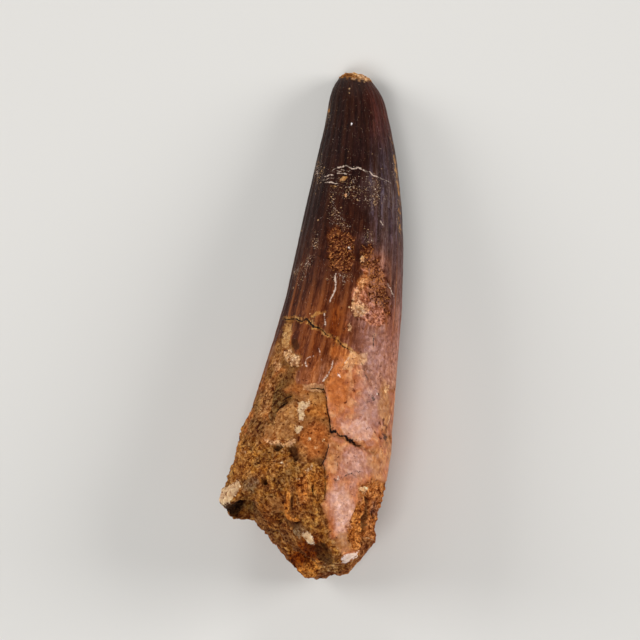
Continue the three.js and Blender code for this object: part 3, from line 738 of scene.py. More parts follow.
# Relief in mm. The lumps have four sizes, broad to fine, each with the shift of its pattern.
relief = {
    "lumps": ((2.4, 7.7), (1.0, 2.2), (0.55, 9.4), (0.3, 4.6)),
    # how much of each size a kind of surface has
    "sand": (0.04, 0.06, 0.09, 0.08),
    "bare": (0.04, 0.06, 0.07, 0.06),
    "dentine": (0.05, 0.03, 0.012, 0),
    "enamel": (0.02, 0, 0.01, 0),
    "flank": (0, 0.05, 0.05, 0.05),
    "patch": (0, 0.04, 0.06, 0.06),
    "tip": (0, 0, 0.08, 0.08),
    "pebbles": {"size": 0.8, "shift": 1.3, "height": 0.12, "flank": 0.5, "level": 0.5},
    # steps between the kinds
    "enamelStep": 0.14,
    "dentineStep": 0.12,
    "patchStep": -0.2,
    "ledgeStep": 0.12,
    "rootStep": 0.3,
    "rootStepFrom": (12, 15),  # mm below the middle of the tooth
    # the enamel fades out to the right instead of ending in a step
    "fadeRight": (4.8, 6.2),
    "fadeDown": (2.2, 3.2),
    "fadedStep": 0.2,  # share of the step that is left there
    # so do the flutes
    "flutesEndRight": (4.6, 6),
    "flutesEndDown": (-1, 1.5),
    "endedFlutes": 0.15,
    "dentineFlutes": 0.12,
    "tipWornFrom": (28.35, 28.6),
    "tipSlant": {"perMm": 0.08, "x": 4.5, "uneven": 0.2},
}


def inside(x, y, outline):
    # mm to the outline, positive inside it
    far = np.full(x.shape, 99.0)
    within = np.zeros(x.shape, dtype=bool)
    for (ax, ay), (bx, by) in zip(outline, outline[1:] + outline[:1]):
        dx, dy = bx - ax, by - ay
        t = np.clip(((x - ax) * dx + (y - ay) * dy) / (dx * dx + dy * dy), 0, 1)
        far = np.minimum(far, np.hypot(x - ax - t * dx, y - ay - t * dy))
        if ay != by:
            within ^= ((ay > y) != (by > y)) & (x < dx * (y - ay) / dy + ax)
    return np.where(within, far, -far)


def insideAny(x, y, shapes):
    return np.max([inside(x, y, shape) for shape in shapes], axis=0)


def lineMarks(x, y, marks):
    # signed distance to the nearest mark, its half-width there, and the groove's depth
    side = np.full(x.shape, 9.0)
    width = np.full(x.shape, -9.0)
    groove = np.zeros(x.shape)
    for depth, points, widths in marks:
        lengths = [math.dist(a, b) for a, b in zip(points, points[1:])]
        done = 0
        far = np.full(x.shape, 99.0)
        share = np.zeros(x.shape)
        sign = np.ones(x.shape)
        past = np.zeros(x.shape)
        for (ax, ay), (bx, by), length in zip(points, points[1:], lengths):
            dx, dy = (bx - ax) / length, (by - ay) / length
            reach = (x - ax) * dx + (y - ay) * dy
            t = np.clip(reach, 0, length)
            away = np.hypot(x - ax - t * dx, y - ay - t * dy)
            nearer = away < far
            far = np.where(nearer, away, far)
            share = np.where(nearer, (done + t) / sum(lengths), share)
            sign = np.where(nearer, np.sign(dx * (y - ay) - dy * (x - ax) + 1e-9), sign)
            past = np.where(nearer, np.abs(reach - t), past)
            done += length
        wide = straightCurve(widths, share)
        ended = ((share < laying["lineEnd"]) | (share > 1 - laying["lineEnd"])) * past
        here = wide - ended - laying["lineFall"] * np.maximum(far - laying["lineReach"], 0)
        better = here - far > width - np.abs(side)
        side = np.where(better, sign * far, side)
        width = np.where(better, here, width)
        slope = laying["grooveFlank"] - far / (wide + laying["grooveLip"])
        groove = np.maximum(groove, depth * np.clip(slope, 0, 1))
    return np.clip(side, *laying["keptSide"]), np.clip(width, *laying["keptWidth"]), groove


def ovals(x, y, places, column=None):
    # 1 at the middle of each oval place, 0 at its edge and below outside, or the summed heights
    total = np.zeros(x.shape) if column else np.full(x.shape, -2.0)
    edge = laying["formEdge"]
    for place in places:
        slant = math.radians(place[4])
        across = ((x - place[0]) * math.cos(slant) + (y - place[1]) * math.sin(slant)) / place[2]
        along = ((y - place[1]) * math.cos(slant) - (x - place[0]) * math.sin(slant)) / place[3]
        far = np.hypot(across, along)
        if column:
            total += place[column] * smooth(edge["reach"] - far, 0, edge["slope"])
        else:
            total = np.maximum(total, 1 - far)
    return total


def plateMarks(x, y, drawnPlates, drawnSpots):
    # mm to the nearest plate's or spot's edge, positive inside it, and what it has there
    edge = np.full(x.shape, float(laying["keptEdge"][0]))
    tint = np.zeros((len(x), 3))
    share = np.zeros(x.shape)
    height = np.zeros(x.shape)
    gritThere = np.zeros(x.shape)
    spot = laying["spot"]
    drawn = [(*plate[:4], inside(x, y, plate[4])) for plate in drawnPlates]
    for *oval, name in drawnSpots:
        deep = ovals(x, y, [oval]) * min(oval[2:4])
        drawn.append((name, spot["share"], spot["height"], spot["grit"], deep))
    for name, much, rise, gritty, deep in drawn:
        nearer = deep > edge
        edge = np.where(nearer, deep, edge)
        tint[nearer] = tones[name]
        share = np.where(nearer, much, share)
        height += rise * smooth(deep, *laying["plateSlope"])
        gritThere = np.where(nearer, gritty, gritThere)
    return np.clip(edge, *laying["keptEdge"]), tint, share, height, gritThere


def makeCage():
    # one ring of the tooth's section after another, from the tip to the middle of the break
    bpy.ops.object.select_all(action="DESELECT")
    rings = []
    for ring in range(ringsInAll + 1):
        share, along = (float(v) for v in ringPlace(ring))
        y = mix(tipY, straightCurve(tooth["breakLine"], 0.0), min(along, 1)) - tooth["cageStep"] * ring
        x, z, halfWidth, halfDepth = (float(v) for v in sectionAt(min(y, tipY)))
        size = max(share, tooth["smallestRing"])
        rings.append((x, y, z, size * halfWidth, size * halfDepth))
    x, y, z, wide, deep = rings[0]
    bpy.ops.mesh.primitive_circle_add(
        vertices=tooth["columns"], radius=mm, location=(x * mm, y * mm, z * mm), rotation=(-math.pi / 2, 0, 0)
    )
    cage = bpy.context.object
    cage.name = "toothSurface"
    cage.scale = (wide, deep, 1)
    bpy.ops.object.transform_apply(location=True, rotation=True, scale=True)
    bpy.ops.object.mode_set(mode="EDIT")
    bpy.ops.mesh.select_all(action="SELECT")
    for last, ring in zip(rings, rings[1:]):
        step = [(b - a) * mm for a, b in zip(last[:3], ring[:3])]
        bpy.ops.mesh.extrude_edges_move(TRANSFORM_OT_translate={"value": step})
        bpy.ops.transform.resize(
            value=(ring[3] / last[3], 1, ring[4] / last[4]), center_override=[c * mm for c in ring[:3]]
        )
    bpy.ops.mesh.select_all(action="SELECT")
    bpy.ops.mesh.normals_make_consistent(inside=False)
    bpy.ops.object.mode_set(mode="OBJECT")
    return cage, rings


def unroll(cage, rings):
    # the surface's own map: round the tooth from its underside, and from the tip to the break
    mesh = cage.data
    places = np.array([v.co for v in mesh.vertices]) / mm
    ringY = np.array([r[1] for r in rings])
    ring = np.abs(places[:, 1, None] - ringY[None]).argmin(axis=1)
    middle = np.array([(r[0], r[2]) for r in rings])[ring]
    reach = np.array([(r[3], r[4]) for r in rings])[ring]
    flatPlace = (places[:, (0, 2)] - middle) / reach
    angle = np.arctan2(flatPlace[:, 1], flatPlace[:, 0])
    turn = ((angle + np.pi / 2) / (2 * np.pi)) % 1
    column = np.round(turn * tooth["columns"]).astype(int) % tooth["columns"]
    layer = mesh.uv_layers.new(name="OFBake")
    for face in mesh.polygons:
        columns = [int(column[v]) for v in face.vertices]
        seam = max(columns) - min(columns) > 1
        for loop, vertex, place in zip(face.loop_indices, face.vertices, columns):
            u = tooth["columns"] if seam and place == 0 else place
            layer.data[loop].uv = (u / tooth["columns"], 1 - ring[vertex] / ringsInAll)


def subdivide(piece):
    finer = piece.modifiers.new("finer", "SUBSURF")
    finer.levels = tooth["subdivisions"]
    finer.render_levels = tooth["subdivisions"]
    finer.uv_smooth = "NONE"
    bpy.context.view_layer.objects.active = piece
    bpy.ops.object.modifier_apply(modifier="finer")


def readMap(mesh):
    # the angle round the tooth and the ring of each point
    uv = np.empty(len(mesh.loops) * 2)
    mesh.uv_layers["OFBake"].data.foreach_get("uv", uv)
    corner = np.empty(len(mesh.loops), dtype=int)
    mesh.loops.foreach_get("vertex_index", corner)
    perVertex = np.zeros((len(mesh.vertices), 2))
    perVertex[corner] = uv.reshape(-1, 2)
    return perVertex[:, 0] * 2 * np.pi - np.pi / 2, (1 - perVertex[:, 1]) * ringsInAll


def moveTo(mesh, places):
    mesh.vertices.foreach_set("co", (places * mm).ravel())
    mesh.update()


def normalsOf(mesh):
    normals = np.empty(len(mesh.vertices) * 3)
    mesh.vertex_normals.foreach_get("vector", normals)
    return normals.reshape(-1, 3)


def keep(mesh, **named):
    # values of the surface for its material to read
    for name, values in named.items():
        kind, key = ("FLOAT", "value") if values.ndim == 1 else ("FLOAT_VECTOR", "vector")
        made = mesh.attributes.new(name, kind, "POINT")
        made.data.foreach_set(key, values.astype(np.float32).ravel())


def toneAlong(rows, place):
    channels = [np.interp(place, [r[0] for r in rows], [r[1][i] for r in rows]) for i in range(3)]
    return np.stack(channels, axis=1)


def paint(under, over, share):
    share = np.clip(share, 0, 1)
    return under + (over - under) * (share[:, None] if under.ndim == 2 else share)


def smoothForm(mesh):
    # the smooth tooth, and where its points lie on it and in the tipped view of its front
    s = SimpleNamespace()
    s.angle, ring = readMap(mesh)
    s.share, s.along = ringPlace(ring)
    s.places, s.halfWidth = placeOnTooth(s.share, s.along, s.angle)
    moveTo(mesh, s.places)
    s.normals = normalsOf(mesh)
    s.x, s.y, s.z = s.places.T
    view = tooth["view"]
    tip = math.radians(view["tip"])
    up, out = s.y - view["y"], s.z - view["z"]
    spread = view["away"] / (view["away"] - out * math.cos(tip) + up * math.sin(tip))
    s.seenX = view["x"] + (s.x - view["x"]) * spread
    s.faced = view["y"] * math.cos(tip) + (up * math.cos(tip) + out * math.sin(tip)) * spread
    s.facing = s.normals[:, 2] * math.cos(tip) - s.normals[:, 1] * math.sin(tip)
    s.front = smooth(s.facing, *laying["front"])
    s.end = smooth(s.along, *laying["end"]) * smooth(laying["endFacing"] - s.facing, *laying["endEdge"])
    s.wall = 1 - smooth(s.along, *laying["wall"])
    s.seen = smooth(s.facing, *laying["seen"]) * (1 - s.end)
    s.wobble = [
        sum(far * noiseAt(s.places, size, shift + more) for far, size, more in laying["wobbles"])
        for shift in laying["wobbleShifts"]
    ]
    s.fx, s.fy = s.seenX + s.wobble[0], s.faced + s.wobble[1]
    return s


def layKinds(s):
    # how far inside each kind of surface a point is, in mm, and how much of the kind it has
    bx, by = s.x + s.wobble[0], s.y + s.wobble[1]

    def both(measure, name):
        return mix(measure(bx, by, backOutlines[name]), measure(s.fx, s.fy, outlines[name]), s.front)

    s.depth = {name: both(inside, name) for name in ("enamel", "ledge", "matrix", "flank")}
    s.depth.update({name: both(insideAny, name) for name in ("patch", "dentine")})
    edge = laying["patchEdge"]
    stray = edge["stray"] * noiseAt(s.places, edge["size"], edge["shift"])
    s.depth["patch"] = s.depth["patch"] + stray
    for name in s.depth:
        s.depth[name] = mix(s.depth[name], laying["endDepth"] * (1 if name == "matrix" else -1), s.end)
        setattr(s, name, smooth(s.depth[name], *laying[name]))
    s.patch = s.patch * s.enamel
    s.ledge = s.ledge * s.patch
    s.bare = (1 - s.enamel) * (1 - s.dentine) * (1 - s.matrix)


def layMarks(s):
    near = laying["nearWobble"]
    fronts = (s.seenX + near * s.wobble[0], s.faced + near * s.wobble[1])
    backs = (s.x + near * s.wobble[0], s.y + near * s.wobble[1])
    onFront = s.facing > 0

    def either(measure, frontMarks, backMarks):
        pairs = zip(measure(*fronts, *frontMarks), measure(*backs, *backMarks))
        return [np.where(onFront if f.ndim == 1 else onFront[:, None], f, b) for f, b in pairs]

    s.crackSide, s.crackWidth, s.groove = either(lineMarks, [cracks], [backCracks])
    s.groove = s.groove * smooth(np.abs(s.facing), *laying["sideGap"]) * s.wall
    s.crackWidth = np.where(s.end > laying["endNoCrack"], laying["keptWidth"][0], s.crackWidth)
    s.scratchSide, s.scratchWidth, _ = either(lineMarks, [scratches], [backScratches])
    s.plateEdge, s.plateTint, s.plateShare, s.plateHeight, s.plateGrit = either(
        plateMarks, [plates, spots], [backPlates, []]
    )
    underRim = onFront & (s.z < laying["rim"]["below"]) & (s.wall < laying["rim"]["wall"])
    s.plateEdge = np.where((s.end > laying["endNoPlate"]) | underRim, laying["keptEdge"][0], s.plateEdge)
    s.plateHeight = s.plateHeight * smooth(np.abs(s.facing), *laying["plateGap"]) * (1 - s.end)
    s.onPlate = smooth(s.plateEdge, *laying["plateEdge"])
    print("marks drawn")


def raiseRelief(s):
    lumps = [noiseAt(s.places, size, shift) for size, shift in relief["lumps"]]
    s.broad, _, s.small, _ = lumps

    def rough(kind):
        return sum(height * lump for height, lump in zip(relief[kind], lumps))

    pebbles = relief["pebbles"]
    nearest, second = pebblesAt(s.places, pebbles["size"], pebbles["shift"])
    pebbly = np.clip(second - nearest, 0, pebbles["flank"]) / pebbles["flank"]
    s.sandy = rough("sand") + pebbles["height"] * (pebbly - pebbles["level"])
    slant = relief["tipSlant"]
    tipPlace = s.faced + slant["perMm"] * (s.x - slant["x"]) + slant["uneven"] * s.small
    s.tipWorn = smooth(tipPlace, *relief["tipWornFrom"])
    lumpy = (
        s.matrix * s.sandy
        + s.bare * rough("bare")
        + s.dentine * (1 - s.matrix) * rough("dentine")
        + s.enamel * rough("enamel")
        + s.flank * (1 - s.matrix) * rough("flank")
        + s.patch * rough("patch")
        + s.tipWorn * rough("tip")
    )
    s.fading = smooth(s.fx, *relief["fadeRight"]) * smooth(-s.fy, *relief["fadeDown"]) * s.front
    steps = (
        relief["enamelStep"] * (s.enamel - 1) * mix(1, relief["fadedStep"], s.fading)
        + relief["dentineStep"] * s.dentine * (1 - s.enamel) * (1 - s.fading)
        + relief["patchStep"] * s.patch
        + relief["ledgeStep"] * s.ledge
        + relief["rootStep"] * s.dentine * smooth(-s.y, *relief["rootStepFrom"])
    )
    flutesEnd = smooth(s.fx, *relief["flutesEndRight"]) * smooth(-s.fy, *relief["flutesEndDown"]) * s.front
    s.fluted = s.enamel * mix(1, relief["endedFlutes"], flutesEnd)
    flutes = tooth["flutes"]
    s.wander = flutes["wander"] * noiseAt(s.places, flutes["wanderSize"], flutes["shift"])
    phase = (np.degrees(s.angle) - flutes["start"]) * flutes["count"] / 360 + s.wander
    fromRidge = np.abs(phase - np.round(phase)) * 2 * np.pi / flutes["count"] * s.halfWidth
    ridge = np.exp(-(fromRidge / flutes["width"]) ** 2)
    ridge = (ridge - flutes["level"]) * mix(relief["dentineFlutes"], 1, s.fluted) * (1 - s.patch)
    s.forms = mix(ovals(s.x, s.y, backForms, 5), ovals(s.fx, s.fy, frontForms, 5), s.front)
    height = s.wall * (steps + flutes["height"] * ridge) + s.forms + lumpy + s.plateHeight - s.groove
    dents = tooth["breakRough"]
    dented = noiseAt(s.places * (1, 0, 1), dents["grain"], dents["shift"]) / 2
    height -= (1 - s.wall) * dents["size"] * dented
    s.places = s.places + s.normals * height[:, None]
    s.places[:, 2] = np.maximum(s.places[:, 2], 0)


def crownTint(s):
    side = (s.x - (softCurve(tooth["edges"], 1, s.y) + softCurve(tooth["edges"], 2, s.y)) / 2) / s.halfWidth
    side = side + meeting["uneven"] * s.broad
    left, middle, right = (toneAlong(colours["crown"][name], s.faced) for name in ("left", "middle", "right"))
    tint = paint(middle, left, smooth(-side, *meeting["left"]))
    # the right side: its own colour with a painted sheen, less of both on the back
    tint = paint(tint, right, smooth(side, *meeting["right"]) * mix(meeting["rightOnBack"], 1, s.front))
    tint = paint(tint, colours["patch"], s.patch)
    return paint(tint, colours["ledge"], s.ledge)


def tintSurface(s):
    patterns = {name: noiseAt(s.places, **meeting[name]) for name in ("patchy", "cloudy")}

    def clouded(kind):
        tint = np.tile(colours[kind], (len(s.x), 1))
        for pattern, way, low, high, name, much in clouds[kind]:
            tint = paint(tint, tones[name], much * smooth(way * patterns[pattern], low, high))
        return tint

    def over(kind, colour):
        return paint(tint, colour, smooth(s.depth[kind], *meeting[kind]))

    tint = clouded("bare")
    tint = over("dentine", clouded("dentine"))
    tint = over("flank", colours["flank"])
    tint = over("matrix", clouded("sand"))
    soft = meeting["enamel"]["soft"] + meeting["enamel"]["faded"] * s.fading
    tint = paint(tint, crownTint(s), smooth(s.depth["enamel"], -soft, soft))
    for *oval, name, much in stains:
        stained = smooth(ovals(s.fx, s.fy, [oval]), *meeting["stains"])
        tint = paint(tint, tones[name], much * stained * s.seen)
    tint = paint(tint, tones["ochre"], s.tipWorn * meeting["tipDust"])
    paleTip = smooth(s.x + s.small, *meeting["tipPaleFrom"]) * meeting["tipPale"]
    tint = paint(tint, tones["peach"], s.tipWorn * paleTip)
    inPulp = smooth(meeting["pulpReach"] - s.share, *meeting["pulpEdge"])[:, None]
    tint = paint(tint, mix(colours["wallOfBreak"], colours["pulpFill"], inPulp), s.end)
    # painted shade deep in the lobe's hollow and in dented pits
    lobeShadeShare = smooth(sunk(tooth["lobeHollow"], s.x, s.z), *meeting["lobeDepth"]) * (1 - s.wall)
    tint = paint(tint, tones["char"], lobeShadeShare * meeting["lobeShadeStrength"])
    return paint(tint, tones["char"], smooth(-s.forms, *meeting["pitDepth"]) * meeting["pitShadeStrength"])


def gritOf(s):
    gritty = mix(grit["bare"], grit["crust"], smooth(-s.fx, *meeting["crustFrom"]))
    for mask, kind in (
        (s.dentine, "dentine"), (s.flank, "flank"), (s.matrix, "sand"), (s.enamel, "enamel"),
        (s.patch, "patch"), (s.ledge, "ledge"), (s.end, "sand"), (s.tipWorn, "flank"),
    ):
        gritty = paint(gritty, grit[kind], mask)
    gritty = paint(gritty, grit["ledge"], meeting["unflutedGrit"] * (s.enamel - s.fluted))
    return paint(gritty, s.plateGrit, s.onPlate)


def shapeTooth(piece):
    mesh = piece.data
    s = smoothForm(mesh)
    layKinds(s)
    layMarks(s)
    raiseRelief(s)
    moveTo(mesh, s.places)
    dusty = smooth(ovals(s.fx, s.fy, dustySpots), *laying["dusty"]) * s.seen
    pitted = smooth(ovals(s.fx, s.fy, pittedSpots), *laying["pitted"]) * s.seen
    pitted += sum(much * getattr(s, kind) for kind, much in laying["pitsIn"].items())
    keep(
        mesh,
        tint=tintSurface(s),
        grit=gritOf(s),
        enamel=s.fluted * (1 - s.patch) * (1 - s.tipWorn) * (1 - s.onPlate * laying["plateDulls"]),
        smoothed=np.maximum(s.dentine * (1 - s.matrix) * (1 - s.enamel), s.enamel - s.fluted),
        crackSide=s.crackSide,
        crackWidth=s.crackWidth,
        scratchSide=s.scratchSide,
        scratchWidth=s.scratchWidth,
        plateEdge=s.plateEdge,
        plateTint=s.plateTint,
        plateShare=s.plateShare,
        dusty=dusty,
        pitted=np.clip(pitted, 0, laying["mostPits"]),
        # the sand's height, which the finish shows as painted shade in its hollows and painted light on its
        # grains
        crevice=s.matrix * s.sandy,
        wander=s.wander,
        along=s.faced,
        radius=s.halfWidth,
        round=np.stack([np.cos(s.angle), np.sin(s.angle), s.y / laying["roundLength"]], axis=1),
    )
    print("surface shaped:", len(mesh.vertices), "points")


def finishTooth(piece):
    mesh = piece.data
    bpy.ops.object.select_all(action="DESELECT")
    piece.select_set(True)
    bpy.context.view_layer.objects.active = piece
    bpy.ops.object.mode_set(mode="EDIT")
    bpy.ops.mesh.select_all(action="SELECT")
    bpy.ops.mesh.remove_doubles(threshold=tooth["weld"] * mm)
    bpy.ops.mesh.normals_make_consistent(inside=False)
    bpy.ops.object.mode_set(mode="OBJECT")
    bpy.ops.object.shade_smooth()
    places = np.array([v.co for v in mesh.vertices])
    low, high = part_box(tooth["node"])
    shift = (places.min(axis=0) + places.max(axis=0) - np.array(low) - np.array(high)) / 2
    shift[2] = 0
    mesh.vertices.foreach_set("co", (places - shift).ravel())
    mesh.update()
    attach(piece, "root")
    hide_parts(tooth["node"])
    print("tooth finished:", sum(len(f.vertices) - 2 for f in mesh.polygons), "triangles")


def makeTooth():
    cage, rings = makeCage()
    unroll(cage, rings)
    subdivide(cage)
    shapeTooth(cage)
    finishTooth(cage)
    return cage


def joining(operation, reflected=False):
    # the overload that joins two values in a Math node
    def join(wire, other):
        first, second = (other, wire) if reflected else (wire, other)
        return wire.finish.node("ShaderNodeMath", {"operation": operation}, {0: first, 1: second})

    return join


class Wire:
    # a socket that is added, multiplied and so on as a number is
    __add__ = joining("ADD")
    __radd__ = joining("ADD", reflected=True)
    __sub__ = joining("SUBTRACT")
    __rsub__ = joining("SUBTRACT", reflected=True)
    __mul__ = joining("MULTIPLY")
    __rmul__ = joining("MULTIPLY", reflected=True)
    __pow__ = joining("POWER")
    __rpow__ = joining("POWER", reflected=True)

    def __init__(self, finish, socket):
        self.finish = finish
        self.socket = socket

    def __abs__(self):
        return self.finish.node("ShaderNodeMath", {"operation": "ABSOLUTE"}, {0: self})


class Finish:
    def __init__(self, name):
        self.material = bpy.data.materials.new(name)
        self.material.use_nodes = True
        self.tree = self.material.node_tree
        self.tree.nodes.clear()

    def node(self, kind, settings, sockets, out=0):
        made = self.tree.nodes.new(kind)
        for name, value in settings.items():
            setattr(made, name, value)
        for name, value in sockets.items():
            if isinstance(value, Wire):
                self.tree.links.new(value.socket, made.inputs[name])
            else:
                made.inputs[name].default_value = value
        return Wire(self, made.outputs[out]) if made.outputs else None

    def value(self, name):
        return self.node("ShaderNodeAttribute", {"attribute_name": name}, {}, "Fac")

    def vector(self, name):
        return self.node("ShaderNodeAttribute", {"attribute_name": name}, {}, "Vector")

    def part(self, vector, axis):
        return self.node("ShaderNodeSeparateXYZ", {}, {0: vector}, axis)

    def times(self, vector, other):
        return self.node("ShaderNodeVectorMath", {"operation": "MULTIPLY"}, {0: vector, 1: other})

    def noise(self, vector, size, detail, roughness):
        sockets = {"Vector": vector, "Scale": 1 / size, "Detail": detail, "Roughness": roughness}
        return self.node("ShaderNodeTexNoise", {}, sockets, "Fac") - 0.5

    def grains(self, vector, size, out):
        return self.node("ShaderNodeTexVoronoi", {}, {"Vector": vector, "Scale": 1 / size}, out)

    def step(self, value, low, high):
        settings = {"interpolation_type": "SMOOTHSTEP"}
        return self.node("ShaderNodeMapRange", settings, {"Value": value, "From Min": low, "From Max": high})

    def blend(self, share, first, second):
        return self.node("ShaderNodeMix", {"data_type": "RGBA"}, {"Factor": share, 6: first, 7: second}, 2)

    def show(self, **sockets):
        names = {
            "baseColor": "Base Color", "roughness": "Roughness", "normal": "Normal", "coat": "Coat Weight",
            "coatRoughness": "Coat Roughness", "specular": "Specular IOR Level",
            "emissionColor": "Emission Color", "emissionStrength": "Emission Strength",
        }
        shader = self.node("ShaderNodeBsdfPrincipled", {}, {names[k]: v for k, v in sockets.items()}, "BSDF")
        self.node("ShaderNodeOutputMaterial", {}, {"Surface": shader})
        return self.material


def solid(colour):
    return (*(float(c) for c in colour), 1)


# The fossil's finish: tones of its small marks first.
fossil = {
    "ridge": solid(tone(150, 84, 42)),
    "speck": solid(tone(206, 164, 116)),
    "chalk": solid(tone(214, 190, 172)),
    "pit": solid(tone(26, 13, 7)),
    "vein": solid(tone(112, 52, 28)),
    "filler": solid(tone(184, 128, 64)),
    "fleck": solid(tone(226, 146, 80)),
    "apart": (37, 11, 5),  # mm between two patterns of one size
    "patterns": {  # size in mm, detail, roughness
        "dust": (0.25, 3, 0.75),
        "clots": (0.7, 3, 0.6),
        "shade": (0.5, 3, 0.75),
        "pits": (0.55, 2, 0.6),
        "fibre": (0.35, 3, 0.65),
        "streak": (0.5, 4, 0.7),
        "broadStreak": (1.3, 3, 0.6),
        "hair": (0.3, 3, 0.7),
        "redder": (1.1, 2, 0.55),
        "ridgeGaps": (3.0, 2, 0.55),
        "flecks": (0.24, 4, 0.8),
        "crumbs": (0.18, 3, 0.8),
        "dashes": (0.2, 3, 0.7),
        "glints": (0.2, 3, 0.8),
        "veins": (1.5, 4, 0.65),
    },
    "cellSize": 0.33,
    "dotSpacing": 0.9,
    "stretch": {
        "bone": (1, 0.5, 1), "streak": (8, 8, 1), "redder": (8, 8, 1.5), "hair": (8, 8, 3), "dash": (8, 8, 4),
    },
    "weights": {  # how strongly each pattern shows in the brightness, in doublings of it, and in the hue
        "grains": 5, "fibre": 0.6, "clots": 2.5, "cells": 1.2, "crevice": 3, "pits": 1.8,
        "streak": 6.5, "hair": 6.5, "broadStreak": 4, "shade": 5, "redder": 6,
    },
    "levelled": 0.15,  # takes back what strong grains add to the brightness
    "brightest": 1.3,
    "hueFrom": {"grit": 0.4, "least": 0.3},
    "channels": ((0.7, 0.12), (1, 0), (1.2, -0.35)),  # how red, green and blue follow brightness and hue
    "ridgeWander": 0.8,
    "ridgeShows": {"least": 0.05, "low": 0.6},  # all over, and more towards the root
    "dotsDiffer": 0.08,
    # how much more of a mark there is where the surface is pitted or dusty
    "gather": {"pits": 0.11, "dots": 0.4, "crumbs": 0.1, "dashes": 0.04},
    "fray": {  # how much dust and clots break up a mark's edge
        "plates": (0.7, 0.3), "dots": (0.5, 0), "crumbs": (0, 0.2), "filler": (0, 1.5),
        "cracks": (0.5, 0), "scratches": (0.5, 0),
    },
    "edges": {  # where a mark begins and where it is full
        "pits": (0.17, 0.21),
        "low": (9, 0),
        "ridge": (0.36, 0.04),
        "ridgeGaps": (-0.12, 0.1),
        "plates": (-0.04, 0.06),
        "flecks": (0.04, 0.1),
        "fleckGrit": (1.8, 2.6),
        "picked": (0.8, 0.82),
        "dots": (0.16, 0.1),
        "chalky": (-0.02, 0.06),
        "crumbs": (0.18, 0.22),
        "dashes": (0.17, 0.22),
        "glints": (0.24, 0.29),
        "glintGrit": (1.4, 1.6),
        "filler": (-0.28, 0.02),
        "cracks": (-0.03, 0.05),
        "scratches": (-0.04, 0.06),
        "veins": (0.02, 0.0),
        "veinGaps": (-0.02, 0.1),
    },
    "covers": {  # how much of what is under a mark it hides
        "flecks": 0.9, "dashes": 0.3, "crumbs": 0.85, "dots": 0.75, "glints": 0.7, "filler": 0.55,
        "cracks": 1, "scratches": 0.85, "veins": 0.5,
    },
    "heights": {"dust": 1.3, "cells": 0.3, "fibre": 0.2, "hair": 0.5, "pits": 0.5, "lessOnBone": 0.65},
    "roughness": {"dull": 0.88, "gloss": 0.45, "dust": 0.5},
    "coat": {"bone": 0.18, "enamel": 0.02, "roughness": 0.36},
    "specular": 0.05,
    "bump": {"Strength": 0.8, "Distance": 0.0002},
}


